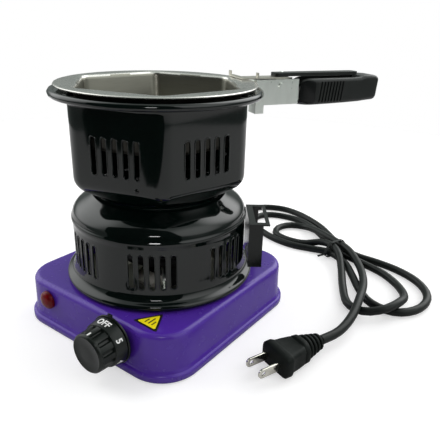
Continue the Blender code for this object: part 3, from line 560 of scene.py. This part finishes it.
# Middle line of the cord, from its gland to the plug, with each crossing lifted over what it crosses.
CORD_ROUTE = [
    (-45, 99.2, 17), (-45.05, 108, 16.9), (-46, 118, 14.4), (-48.2, 131, 8.4), (-51.4, 146, 4.2),
    (-55, 163, 3.4), (-58, 188, 3.4), (-54, 210, 3.4), (-42, 226, 3.4), (-24, 234, 3.4), (-4, 232, 3.4),
    (16, 224, 3.4), (36, 212, 3.4), (55, 195, 3.8), (75, 176.5, 4.5), (92, 171, 3.8), (112, 171, 3.4),
    (131, 168, 3.4), (149, 160, 3.4), (162, 147, 3.4), (168, 131, 3.4), (166, 113, 3.4),
    (157, 100, 3.4), (145, 96, 3.4), (131, 100, 3.4), (118, 113, 3.4), (104, 132, 3.4), (89, 150, 3.8),
    (70, 160, 4.5), (52, 158, 3.8), (32, 154, 3.4), (10, 156, 3.4), (-12, 165, 3.4), (-29, 179, 3.4),
    (-34, 195, 3.4), (-26, 209, 3.4), (-8, 215, 3.4), (11, 214, 3.4), (30, 205, 3.4), (48, 190, 3.8),
    (60, 178, 4.2), (73, 168.5, 4.5), (88, 163, 4.2), (104, 160, 3.4), (124, 153, 3.4), (141, 140, 3.6),
    (152, 122, 6), (154, 103, 10.1), (147.5, 87, 9), (134.5, 79.5, 5.8), (119, 86, 3.8),
    (105, 109, 3.8), (93, 133, 6), (82, 151, 10.2), (70, 163.5, 10.6), (56, 167, 9), (40, 163, 4.4),
    (22, 162, 3.4), (6.5, 167, 3.4), (0, 181.5, 3.4), (6, 196, 3.6), (21.5, 200.5, 4.5),
    (37, 191.5, 8.5), (54, 181, 10.8), (73.5, 171.5, 11.2), (87, 163, 11), (99, 150, 10.4),
    (112, 131, 10.6), (122, 109, 11.4), (128.6, 84, 12.7), (132.8, 60, 10.6), (132.3, 38.5, 9),
    (126.8, 21.7, 8.8),
]
PLUG_LENGTH = 40.6


def make_plug():
    def section(distance, half_width, half_height, corner):
        outline = rectangle(half_width, half_height, corner, 8, 2)
        return [(distance, point.x, point.y) for point in outline]

    rings = [
        section(0.0, 11.6, 6.8, 3.4), section(0.3, 12.3, 7.5, 3.8), section(1.1, 12.9, 8.1, 4.1),
        section(5.2, 13.0, 8.2, 4.2), section(5.9, 12.7, 8.0, 4.1), section(7.6, 11.2, 7.4, 3.2),
        section(13.0, 10.3, 7.3, 3.0), section(18.8, 9.3, 7.2, 3.2), section(19.3, 9.2, 7.4, 4.6),
        section(19.9, 9.6, 8.2, 6.4), section(20.6, 9.9, 8.5, 7.0), section(23.2, 9.7, 8.5, 7.2),
        section(24.0, 9.0, 8.1, 7.2), section(24.6, 6.4, 6.2, 5.6),
    ]
    for rib in range(4):
        start = 25.6 + rib * 3.7
        radius = 8.4 - rib * 0.85
        for along, inward in ((-0.2, 0.9), (0.1, 0.15), (0.5, 0.0), (1.6, 0.15), (1.9, 0.45), (2.1, 2.0),
                              (2.7, 2.3), (3.3, 2.2)):
            half = radius - inward
            rings.append(section(start + along, half, half, half * 0.96))
    rings.append(section(PLUG_LENGTH - 0.3, 3.9, 3.9, 3.7))
    rings.append(section(PLUG_LENGTH, 3.6, 3.6, 3.4))
    body = add_mesh("plug", loft(rings), PLUG, "plug_rubber", 40.0)
    return finish_piece(body, "base", "black_pvc", "plug_body")


def make_blades():
    pieces = []
    for number, side in enumerate((-1, 1), start=1):
        outline = rectangle(8.5, 3.175, 2.6, 8, 1)
        middle = side * 6.35
        blade = loft([[(-8.6 + point.x, middle + y, point.y) for point in outline]
                      for y in (-0.75, 0.75)])
        piece = add_mesh(f"blade_{number}", blade, PLUG, "nickel")
        hole = turn_builder(turned([(1.6, -12.0), (1.6, 12.0)], 28), "X", 90.0)
        bmesh.ops.translate(hole, vec=(-13.4, 0.0, 0.0), verts=hole.verts)
        cut(piece, hole)
        bevel(piece, 0.22, 2)
        settle(piece)
        pieces.append(finish_piece(piece, "base", "nickel", f"plug_blade_{number}"))
    return pieces


def make_tie():
    """A twist tie: two turns of flat strip round the strands, and its two ends twisted together."""
    strands = [(-10.6, 4.65), (10.2, 4.65), (3.8, 11.3), (-7.2, 10.9)]

    def wrapped(radius):
        points = []
        for index, centre in enumerate(strands):
            before = Vector(centre) - Vector(strands[index - 1])
            after = Vector(strands[(index + 1) % 4]) - Vector(centre)
            start = math.atan2(-before.x, before.y)
            end = math.atan2(-after.x, after.y)
            end += TAU if end < start else 0.0
            for step in range(9):
                angle = start + (end - start) * step / 8
                points.append(Vector(centre) + radius * Vector((math.cos(angle), math.sin(angle))))
        return points

    bands = []
    for middle, extra in ((-0.85, 0.0), (0.85, 0.12)):
        strip = ((-0.7, 0.35), (-0.7, 0.65), (-0.35, 0.8), (0.35, 0.8), (0.7, 0.65), (0.7, 0.35))
        rings = [[(middle + x, point.x, max(point.y, 0.25)) for point in wrapped(CORD_RADIUS + extra + r)]
                 for x, r in strip]
        bands.append(loft(rings, closed=True))
    tie = add_mesh("tie_band", joined(bands), TIE, "black_pvc")
    finish_piece(tie, "base", "black_pvc", "cord_tie")
    tails = []
    for turn in (0.0, math.pi):
        points = []
        for step in range(36):
            part = step / 35
            angle = turn + part * TAU * 2.5
            points.append((0.55 * math.cos(angle), -14.6 - 9.0 * part, 4.3 + 0.55 * math.sin(angle)))
        tail = tube(f"tie_end_{len(tails) + 1}", points, 0.5, TIE, "black_pvc", 2)
        tails.append(finish_piece(tail, "base", "black_pvc"))
    return [tie, *tails]


def make_cord():
    points, length = smooth_route(CORD_ROUTE, 6.0)
    cord = tube("cord", points, CORD_RADIUS, AXIS, "black_pvc", 5)
    finish_piece(cord, "base", "black_pvc", "power_cord")
    make_plug()
    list(make_blades())
    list(make_tie())
    profile = [(4.5, -4.0), (4.5, -0.6), (6.1, -0.5), (6.4, -0.1), (6.4, 1.3), (6.1, 1.6), (5.5, 1.9)]
    for rib in range(5):
        z = 3.4 + 4.0 * rib
        outer = 5.4 - 0.25 * rib
        profile += [(outer, z), (outer - 0.75, z + 0.3), (outer - 0.75, z + 1.3), (outer - 0.1, z + 1.6)]
    profile += [(4.0, 23.5), (3.5, 24.0)]
    gland = add_mesh("gland", turned(profile, 48), GLAND, "black_pvc")
    finish_piece(gland, "base", "black_pvc", "cord_gland")


make_camera()
make_world()
make_cord()


# ---- base ----
BASE_HALF = (72.0, 74.0)
BASE_CORNER = 24.0
BASE_TOP = 33.6
LIP = 3.0
FOOT = 0.8


def base_ring(inset, height):
    corner = max(BASE_CORNER - inset, 2.0)
    return level(rectangle(BASE_HALF[0] - inset, BASE_HALF[1] - inset, corner, 16, 10), height)


def make_base():
    edge = 4.0
    guide = rectangle(*BASE_HALF, BASE_CORNER, 16, 10)
    rings = [base_ring(-LIP + 0.3, FOOT), base_ring(-LIP, FOOT + 0.3), base_ring(-LIP, 4.2)]
    rings += [base_ring(inset, z) for inset, z in
              ((-2.9, 4.8), (-2.4, 5.4), (-1.4, 6.1), (-0.6, 6.8), (-0.15, 7.6), (0.0, 8.6))]
    rings += [base_ring(0.1, 14.0), base_ring(0.3, 24.0)]
    rings += [base_ring(0.4 + edge - radius, z)
              for radius, z in arc((0.0, BASE_TOP - edge), edge, 0.0, 90.0, 8)]
    rings += [base_ring(6.0, BASE_TOP), level(circle_like(guide, 60.0), BASE_TOP),
              level(circle_like(guide, 50.6), BASE_TOP), level(circle_like(guide, 50.0), BASE_TOP - 0.4),
              level(circle_like(guide, 50.0), BASE_TOP - 1.0), base_ring(5.2, BASE_TOP - 1.0),
              base_ring(2.0, BASE_TOP - edge - 0.6), base_ring(1.0, 8.5), base_ring(1.0 - LIP, 5.5),
              base_ring(1.0 - LIP, FOOT)]
    base = add_mesh("base_shell", loft(rings, closed=True), AXIS, "purple_paint", 50.0)
    finish_piece(base, "base", "purple_paint", "base_housing")


def make_knob():
    count = 180

    def grip_ring(radius, depth, height, lobes=12):
        ring = []
        for index in range(count):
            angle = TAU * index / count
            wave = math.cos(lobes * (angle - TAU / 4.0))
            notch = min(1.0, max(0.0, (-wave - 0.25) / 0.35))
            here = radius - depth * notch * notch * (3.0 - 2.0 * notch)
            ring.append((here * math.cos(angle), here * math.sin(angle), height))
        return ring

    rings = [
        level(circle(15.4, count), 78.8), level(circle(15.8, count), 79.2),
        level(circle(15.65, count), 80.6), level(circle(14.75, count), 86.2),
        level(circle(14.4, count), 86.8), level(circle(13.7, count), 87.0),
        grip_ring(13.5, 1.5, 87.3), grip_ring(13.3, 1.5, 93.0), grip_ring(13.1, 1.4, 94.8),
        grip_ring(13.1, 0.3, 95.4), level(circle(13.1, count), 95.9), level(circle(12.9, count), 96.9),
        level(circle(12.4, count), 97.6), level(circle(11.6, count), 98.0), level(circle(10.9, count), 97.9),
        level(circle(10.3, count), 97.6), level(circle(5.0, count), 97.75), level(circle(1.0, count), 97.8),
    ]
    knob = add_mesh("dial", loft(rings), KNOB, "knob_plastic", 32.0)
    finish_piece(knob, "knob", "black_plastic", "knob")
    for index, label in enumerate(("OFF", "5", "4", "3", "2", "1")):
        dial_label(label, 60.0 * index)
    mark = block((-0.5, 12.9, 93.2), (0.5, 13.42, 96.2))
    finish_piece(add_mesh("dial_mark", mark, KNOB, "white_print"), "knob", "black_plastic")
    ring = [(10.0, 74.3), (10.0, 76.9), (16.2, 77.1), (16.6, 77.4), (16.6, 78.2), (16.3, 78.5), (8.0, 78.5),
            (8.0, 74.3)]
    bezel = add_mesh("dial_ring", turned(ring, 96, closed=True), KNOB, "knob_plastic")
    cut(bezel, block((-1.7, 14.5, 77.3), (1.7, 18.3, 78.4)), "UNION")
    settle(bezel)
    finish_piece(bezel, "base", "black_plastic", "knob_bezel")


def dial_label(label, degrees):
    """A printed number wrapped on the dial's sloping skirt, its top towards the base."""
    data = bpy.data.curves.new("text", "FONT")
    data.body = label
    data.size = 5.9
    data.align_x = "CENTER"
    data.align_y = "CENTER"
    data.offset = 0.14
    data.resolution_u = 6
    text = new_object("text", data)
    bpy.context.view_layer.update()
    graph = bpy.context.evaluated_depsgraph_get()
    mesh = bpy.data.meshes.new_from_object(text.evaluated_get(graph))
    bpy.data.objects.remove(text, do_unlink=True)
    builder = bmesh.new()
    builder.from_mesh(mesh)
    bpy.data.meshes.remove(mesh)
    solid = bmesh.ops.extrude_face_region(builder, geom=builder.faces[:])
    lifted = [item for item in solid["geom"] if isinstance(item, bmesh.types.BMVert)]
    bmesh.ops.translate(builder, vec=(0.0, 0.0, 0.16), verts=lifted)
    for vertex in builder.verts:
        distance = 83.3 - vertex.co.y
        radius = 15.65 - (distance - 80.6) * 0.9 / 5.6 + vertex.co.z - 0.06
        angle = math.radians(degrees) + vertex.co.x / 15.2
        vertex.co = (radius * math.sin(angle), radius * math.cos(angle), distance)
    name = "dial_print_" + label.lower()
    finish_piece(add_mesh(name, builder, KNOB, "white_print"), "knob", "black_plastic")


def make_lamp():
    profile = [(6.6, 74.4), (6.6, 75.6), (6.45, 76.1), (6.0, 76.8), (5.2, 77.5), (4.0, 78.15), (2.6, 78.6),
               (1.2, 78.8)]
    lens = add_mesh("lamp_dome", turned(profile, 64), LAMP, "red_lens")
    finish_piece(lens, "base", "red_lens", "lamp_lens")


def make_label():
    """Yellow triangle with a dark border and three plain bars."""
    corners = [Vector((37.4, -66.4)), Vector((57.2, -67.0)), Vector((47.6, -50.3))]
    middle = sum(corners, Vector((0.0, 0.0))) / 3.0

    def rounded(scale, corner):
        points = []
        for index in range(3):
            here = middle + (corners[index] - middle) * scale
            before = (middle + (corners[index - 1] - middle) * scale - here).normalized()
            after = (middle + (corners[(index + 1) % 3] - middle) * scale - here).normalized()
            for step in range(9):
                t = step / 8
                points.append(here + corner * ((1 - t) ** 2 * before + t ** 2 * after))
        return points

    edge = loft([level(rounded(1.05, 2.3), 33.55), level(rounded(1.05, 2.3), 33.8)])
    finish_piece(add_mesh("label_edge", edge, AXIS, "black_print"), "base", "yellow_label", "caution_label")
    face = loft([level(rounded(0.80, 1.8), 33.7), level(rounded(0.80, 1.8), 33.84)])
    finish_piece(add_mesh("label_face", face, AXIS, "yellow_print"), "base", "yellow_label")
    bars = [block((x - 0.45, -63.6, 33.75), (x + 0.45, high, 33.88))
            for x, high in ((44.6, -59.4), (47.4, -56.9), (50.2, -59.4))]
    finish_piece(add_mesh("label_bars", joined(bars), AXIS, "black_print"), "base", "yellow_label")


# ---- skirt and its handle rest ----
WALL = 62.0    # outer radius of the skirt's wall
SLOT_HALF, BEAD_HALF, BEAD_RADIUS = 1.75, 2.15, 0.55    # half widths of a slot and of the bead round it


def stadium(half, low, high, steps):
    """Outline of an upright slot with round ends, as (across, height) pairs, anticlockwise."""
    ends = ((high - half, 0.0), (low + half, 180.0))
    return [point for middle, start in ends
            for point in arc((0.0, middle), half, start, start + 180.0, steps)]


def slot_cutter(near, far, half, low, high, offset=0.0):
    outline = stadium(half, low, high, 8)
    return loft([[(x, offset + across, z) for across, z in outline] for x in (near, far)])


def slot_edge(radius, half, low, high, offset, turn, flat):
    """A thin raised bead round a slot, on a round or a flat wall."""
    path = []
    outline = stadium(half, low, high, 7)
    longer = []
    for index, point in enumerate(outline):
        longer.append(point)
        after = outline[(index + 1) % len(outline)]
        if abs(after[1] - point[1]) > 5.0:
            longer += [(point[0] + (after[0] - point[0]) * k / 4, point[1] + (after[1] - point[1]) * k / 4)
                       for k in range(1, 4)]
    for across, z in longer:
        if flat:
            path.append(Vector((radius, offset + across, z)))
        else:
            angle = across / radius
            path.append(Vector((radius * math.cos(angle), radius * math.sin(angle), z)))
    return turn_builder(ring_tube(path, BEAD_RADIUS), "Z", turn)


def make_skirt():
    foot = 36.4
    outer = [Vector(p) for p in arc((WALL + 4.3, foot), 2.3, -180.0, 65.0, 14)]
    outer += smoothed([(WALL + 4.4, foot + 2.5), (WALL + 2.4, foot + 3.8), (WALL + 1.0, 42.8),
                       (WALL + 0.3, 46.4)], 4)
    outer += [Vector((WALL + 0.1, z)) for z in (50.0, 59.5, 69.0, 73.5)]
    outer += smoothed([(WALL + 0.2, 75.5), (WALL + 0.6, 77.0), (WALL + 1.0, 78.6), (WALL + 0.9, 79.9),
                       (WALL + 0.2, 81.2), (WALL - 0.2, 82.8), (WALL - 0.9, 84.8), (WALL - 3.2, 87.7),
                       (WALL - 7.0, 90.5), (WALL - 11.2, 93.1), (47.9, 95.4)], 4)
    outer.append(Vector((47.55, 95.5)))
    inner = [(47.0, 94.9), (WALL - 11.8, 92.0), (WALL - 7.7, 89.5), (WALL - 4.2, 86.8), (WALL - 1.9, 83.8),
             (WALL - 1.0, 80.5), (WALL - 0.9, 60.0), (WALL - 0.7, 46.4), (WALL + 0.2, 43.0),
             (WALL + 1.6, foot + 3.0)]
    profile = [(point[0], point[1]) for point in outer] + inner
    skirt = add_mesh("skirt", turned(profile, 168, closed=True), AXIS, "black_enamel", 45.0)
    cutters, edges = [], []
    for group in range(7):
        for place in range(-2, 3):
            turn = 37.5 + 360.0 / 7.0 * group + 6.4 * place - 90.0
            slot = slot_cutter(WALL - 4.0, WALL + 4.0, SLOT_HALF, 47.5, 71.5)
            cutters.append(turn_builder(slot, "Z", turn))
            edges.append(slot_edge(WALL - 0.15, BEAD_HALF, 47.1, 71.9, 0.0, turn, False))
    cut(skirt, joined(cutters))
    settle(skirt, 45.0)
    finish_piece(skirt, "guard", "black_enamel", "guard_skirt")
    beads = add_mesh("skirt_slot_edges", joined(edges), AXIS, "black_enamel", 80.0)
    finish_piece(beads, "guard", "black_enamel")


# ---- bowl and pot ----
def make_bowl():
    apothem, corner = 56.0, 12.0
    guide = hexagon(apothem, corner)

    def inset_by(inset):
        return hexagon(apothem - inset, corner - min(inset, 8.0))

    def hexagonal(inset, height):
        return level(inset_by(inset), height)

    def between(inset, radius, part, height):
        """A ring part of the way from the hexagon to a circle."""
        outside = circle_like(guide, radius)
        return level([a.lerp(b, part) for a, b in zip(inset_by(inset), outside)], height)

    rim = [level(circle_like(guide, radius), z) for radius, z in arc((68.6, 164.7), 2.3, -150.0, 150.0, 14)]
    rings = [
        level(circle_like(guide, 46.3), 88.0), level(circle_like(guide, 46.3), 96.8),
        level(circle_like(guide, 46.6), 97.8), level(circle_like(guide, 47.4), 98.7),
        between(8.0, 49.5, 0.7, 100.8), between(5.6, 52.0, 0.35, 103.2), hexagonal(4.0, 105.4),
        hexagonal(2.4, 107.2), hexagonal(1.2, 109.0), hexagonal(0.4, 111.0), hexagonal(0.0, 113.4),
        hexagonal(0.0, 116.5), hexagonal(0.0, 131.0), hexagonal(0.0, 146.0), hexagonal(0.0, 154.0),
        hexagonal(0.0, 159.4), hexagonal(-0.1, 160.8), between(-0.5, 62.0, 0.12, 161.9),
        between(-1.5, 65.0, 0.5, 162.8),
        *rim,
        between(-2.0, 66.0, 0.5, 166.2), hexagonal(-0.4, 165.4), hexagonal(0.6, 163.6),
        hexagonal(1.0, 160.0), hexagonal(1.0, 113.4), hexagonal(2.4, 109.6), hexagonal(5.4, 106.4),
        level(circle_like(guide, 46.6), 99.7), level(circle_like(guide, 45.3), 98.0),
        level(circle_like(guide, 45.3), 88.0),
    ]
    bowl = add_mesh("bowl_shell", loft(rings, closed=True), AXIS, "black_enamel", 45.0)
    cutters, edges = [], []
    for side in range(6):
        turn = -45.0 + 30.0 + 60.0 * side
        for slot in range(-2, 3):
            offset = slot * 7.5
            cutters.append(turn_builder(slot_cutter(51.0, 60.0, SLOT_HALF, 119.3, 143.0, offset), "Z", turn))
            edges.append(slot_edge(apothem - 0.15, BEAD_HALF, 118.9, 143.4, offset, turn, True))
    cut(bowl, joined(cutters))
    settle(bowl, 45.0)
    finish_piece(bowl, "bowl", "black_enamel", "bowl")
    beads = add_mesh("bowl_slot_edges", joined(edges), AXIS, "black_enamel", 80.0)
    finish_piece(beads, "bowl", "black_enamel")
    rivet = turned([(1.5, 55.8), (1.5, 56.3), (1.1, 56.6), (0.4, 56.7)], 24)
    turn_builder(rivet, "Y", 90.0)
    bmesh.ops.translate(rivet, vec=(0.0, 14.0, 112.6), verts=rivet.verts)
    turn_builder(rivet, "Z", -75.0)
    finish_piece(add_mesh("bowl_rivet", rivet, AXIS, "enamel_satin"), "bowl", "black_enamel")


def make_pot():
    apothem, corner = 52.0, 9.0
    guide = hexagon(apothem, corner)
    top, floor, sheet = 170.2, 132.0, 0.8

    def hexagonal(inset, height):
        return level(hexagon(apothem - inset, max(corner - inset, 3.0)), height)

    def round_ring(radius, height):
        return level(circle_like(guide, radius), height)

    rings = [
        round_ring(20.0, floor + sheet), hexagonal(7.0, floor + sheet), hexagonal(5.4, floor + sheet + 0.3),
        hexagonal(3.9, floor + sheet + 1.1), hexagonal(2.9, floor + sheet + 2.4),
        hexagonal(2.4, floor + sheet + 4.0), hexagonal(0.9, top - 3.2), hexagonal(0.5, top - 1.5),
        hexagonal(-0.2, top - 0.6), hexagonal(-1.3, top - 0.1), hexagonal(-2.6, top),
        round_ring(65.8, top - 0.02), round_ring(66.7, top - 0.1), round_ring(67.1, top - 0.5),
        round_ring(66.8, top - 1.1), round_ring(66.2, top - 1.2), round_ring(65.4, top - sheet),
        hexagonal(-2.6, top - sheet), hexagonal(-0.9, top - sheet - 0.3), hexagonal(-0.1, top - 3.4),
        hexagonal(1.5, floor + 3.5),
        hexagonal(3.0, floor + 0.7), hexagonal(6.0, floor), round_ring(20.0, floor),
    ]
    pot = add_mesh("pot_shell", loft(rings), AXIS, "satin_steel", 50.0)
    pot.data.materials.append(FINISH["flange_steel"])
    pot.data.materials.append(FINISH["shaded_pot_outside"])
    # The flange keeps the steel's own bright tone; the inside walls and the outside get darker copies of it,
    # which is painted shade.
    flange, outside = 1, 2
    for face in pot.data.polygons:
        outwards = face.normal.z < -0.5 or face.normal.xy.dot(face.center.xy) > 0.0
        if face.center.z > (top - 1.4) * MM and math.hypot(face.center.x, face.center.y) > 0.0525:
            face.material_index = flange
        elif face.center.z < (top - 1.2) * MM and outwards:
            face.material_index = outside
    finish_piece(pot, "pot", "satin_steel", "melting_pot")


# ---- handle ----
def make_grip():
    def section(distance, half, bottom, top, corner, lean=0.0):
        corner = min(corner, half - 0.05, (top - bottom) / 2.0 - 0.05)
        outline = rectangle(half, (top - bottom) / 2.0, corner, 10, 3)
        middle = (top + bottom) / 2.0
        return [(distance + lean * point.y, point.x, middle + point.y) for point in outline]

    rings = [
        section(107.4, 7.6, 153.2, 168.4, 7.4), section(107.8, 9.3, 151.6, 169.8, 8.8),
        section(108.8, 10.2, 151.0, 170.3, 9.0), section(110.5, 10.6, 150.9, 170.4, 8.0),
        section(113.0, 10.6, 150.9, 170.4, 5.6), section(117.0, 10.5, 151.0, 170.4, 3.6),
        section(130.0, 10.4, 151.3, 170.4, 2.8), section(148.0, 10.3, 151.7, 170.4, 2.8),
        section(160.0, 10.1, 152.1, 170.5, 2.8), section(162.5, 10.0, 152.3, 171.4, 2.8),
        section(165.0, 9.9, 152.5, 171.9, 2.8), section(169.0, 9.8, 152.8, 172.0, 2.8),
        section(173.5, 9.6, 153.0, 171.7, 2.8, 0.03), section(175.6, 9.2, 153.4, 171.0, 2.8, 0.06),
        section(176.8, 8.4, 154.2, 170.2, 2.6, 0.08), section(177.3, 7.2, 155.4, 169.0, 2.4, 0.08),
    ]
    grip = add_mesh("grip_moulding", loft(rings), HANDLE, "black_plastic", 32.0)
    cut(grip, block((100.0, -5.8, 154.7), (150.6, 5.8, 163.3)))
    cut(grip, block((100.0, -6.2, 162.0), (161.6, 6.2, 176.0)))
    ribs = []
    for side in (-1, 1):
        for index in range(8):
            x = 123.0 + index * 2.75
            edges = sorted((side * 9.5, side * 12.5))
            groove = block((-0.6, edges[0], -8.0), (0.6, edges[1], 7.2))
            turn_builder(groove, "Y", 6.0)
            bmesh.ops.translate(groove, vec=(x, 0.0, 161.0), verts=groove.verts)
            ribs.append(groove)
    cut(grip, joined(ribs))
    slope = 19.3    # of the slants each side of the end that the channel enters
    for side in (-1, 1):
        edges = sorted((0.0, side * 8.0))
        scoop = block((-12.0, edges[0], -16.0), (20.0, edges[1], 16.0))
        turn_builder(scoop, "Z", side * slope)
        bmesh.ops.translate(scoop, vec=(107.0, side * 6.5, 161.0), verts=scoop.verts)
        cut(grip, scoop)
    settle(grip, 32.0)
    grip.data.materials.append(FINISH["gloss_mouth"])
    for face in grip.data.polygons:
        slanted = face.center.x < 0.122 and face.normal.x < -0.2 and abs(face.normal.z) < 0.05
        if face.center.x < 0.1086 or slanted:
            face.material_index = 1
    finish_piece(grip, "handle", "black_plastic", "grip")


# ---- heater ----
def make_coil():
    turns, inner, outer, height = 2.6, 13.0, 41.0, 52.0
    points = [(inner - 1.0, 0.0, 20.0), (inner - 1.0, 0.0, height - 6.0)]
    steps = 150
    for step in range(steps + 1):
        part = step / steps
        angle = TAU * turns * part + 0.35
        radius = inner + (outer - inner) * part
        points.append((radius * math.cos(angle), radius * math.sin(angle), height))
    end_angle = TAU * turns + 0.6
    foot = (outer * math.cos(end_angle), outer * math.sin(end_angle))
    points += [(*foot, height - 5.0), (*foot, 20.0)]
    coil = tube("coil", points, 3.3, AXIS, "dark_steel", 4)
    finish_piece(coil, "base", "dark_steel", "heating_coil")


def finish_cad_nodes():
    """CAD nodes that stay as they are get a finish, and a small round on their edges."""
    kept = {
        "bottom_plate": ("dark_steel", 0.2), "drip_pan": ("satin_steel", 0.0),
        "coil_support": ("plated_steel", 0.15), "terminal_block": ("ceramic", 0.4),
        "thermostat_body": ("ceramic", 0.4), "lamp_body": ("lamp_holder", 0.0),
        "handle_rest": ("enamel_satin", 0.35), "rest_rivet_1": ("enamel_satin", 0.15),
        "rest_rivet_2": ("enamel_satin", 0.15), "clip_body": ("plated_steel", 0.35),
        "upper_jaw": ("jaw_steel", 0.25), "thumb_lever": ("black_plastic", 0.6),
        "lever_rivet": ("plated_steel", 0.1), "lever_pin": ("plated_steel", 0.2),
        "lever_spring": ("dark_steel", 0.0), "knob_shaft": ("plated_steel", 0.2),
    }
    for number in range(1, 5):
        kept[f"foot_{number}"] = ("rubber", 0.4)
        kept[f"plate_screw_{number}"] = ("plated_steel", 0.15)
    for name, (finish, width) in kept.items():
        node = NODES[name]
        node.data.materials.clear()
        node.data.materials.append(FINISH[finish])
        node.data.shade_smooth()
        node.data.set_sharp_from_angle(angle=math.radians(30.0))
        if width:
            bevel(node, width, 2, 40.0)


# ---- stage ----
# Outline of the dark card, across and up, in metres.
CARD_CORNERS = [(-0.043, 0.0), (0.95, 0.0), (0.95, 0.6), (0.6, 1.5), (-0.10, 1.5), (-0.30, 0.50),
                (-0.150, 0.11), (-0.136, 0.050), (-0.069, 0.040)]
CARD_Y = -0.385
FLOOR_RADIUS, FLOOR_TONE, FLOOR_GLOW = 0.75, 0.62, 0.48


def make_stage():
    """A pale floor that the camera sees brighter, and a dark card that only gloss mirrors."""
    floor = bmesh.new()
    bmesh.ops.create_circle(floor, cap_ends=True, segments=96, radius=FLOOR_RADIUS)
    mesh = bpy.data.meshes.new("floor")
    floor.to_mesh(mesh)
    floor.free()
    plane = new_object("floor", mesh)
    pale = bpy.data.materials.new("floor")
    pale.use_nodes = True
    shader = pale.node_tree.nodes["Principled BSDF"]
    shader.inputs["Base Color"].default_value = (FLOOR_TONE, FLOOR_TONE, FLOOR_TONE, 1.0)
    shader.inputs["Emission Color"].default_value = (1.0, 1.0, 1.0, 1.0)
    path = pale.node_tree.nodes.new("ShaderNodeLightPath")
    glow = pale.node_tree.nodes.new("ShaderNodeMath")
    glow.operation = "MULTIPLY"
    glow.inputs[1].default_value = FLOOR_GLOW
    link(pale.node_tree, path.outputs["Is Camera Ray"], glow.inputs[0])
    link(pale.node_tree, glow.outputs[0], shader.inputs["Emission Strength"])
    shader.inputs["Roughness"].default_value = 0.9
    shader.inputs["Specular IOR Level"].default_value = 0.1
    mesh.materials.append(pale)
    flag = bpy.data.meshes.new("flag")
    flag.from_pydata([(x, CARD_Y, z) for x, z in CARD_CORNERS], [], [tuple(range(len(CARD_CORNERS)))])
    dark = bpy.data.materials.new("flag")
    dark.use_nodes = True
    matt = dark.node_tree.nodes["Principled BSDF"]
    matt.inputs["Base Color"].default_value = (0.01, 0.01, 0.01, 1.0)
    matt.inputs["Roughness"].default_value = 1.0
    flag.materials.append(dark)
    card = new_object("flag", flag)
    card.matrix_world = AXIS
    card.visible_camera = False
    card.visible_diffuse = False
    card.visible_shadow = False
    card.visible_transmission = False


def make_lights():
    low = (0.0, 0.0, 0.08)
    area_light("left", (-0.95, -0.40, 0.72), low, (0.7, 1.0), 8.8)
    area_light("back", (0.30, 1.10, 0.65), low, (1.1, 0.8), 11.0)
    area_light("right", (1.0, 0.10, 0.80), low, (0.6, 0.6), 2.5)
    area_light("top", (0.0, 0.25, 1.2), low, (0.9, 0.9), 2.5)
    area_light("glint", (0.205, -0.33, 0.30), low, (0.08, 0.03), 0.15, mirrored=True)


for step in (make_base, make_knob, make_lamp, make_label, make_skirt, make_bowl, make_pot, make_grip,
             make_coil, finish_cad_nodes, make_stage, make_lights):
    step()
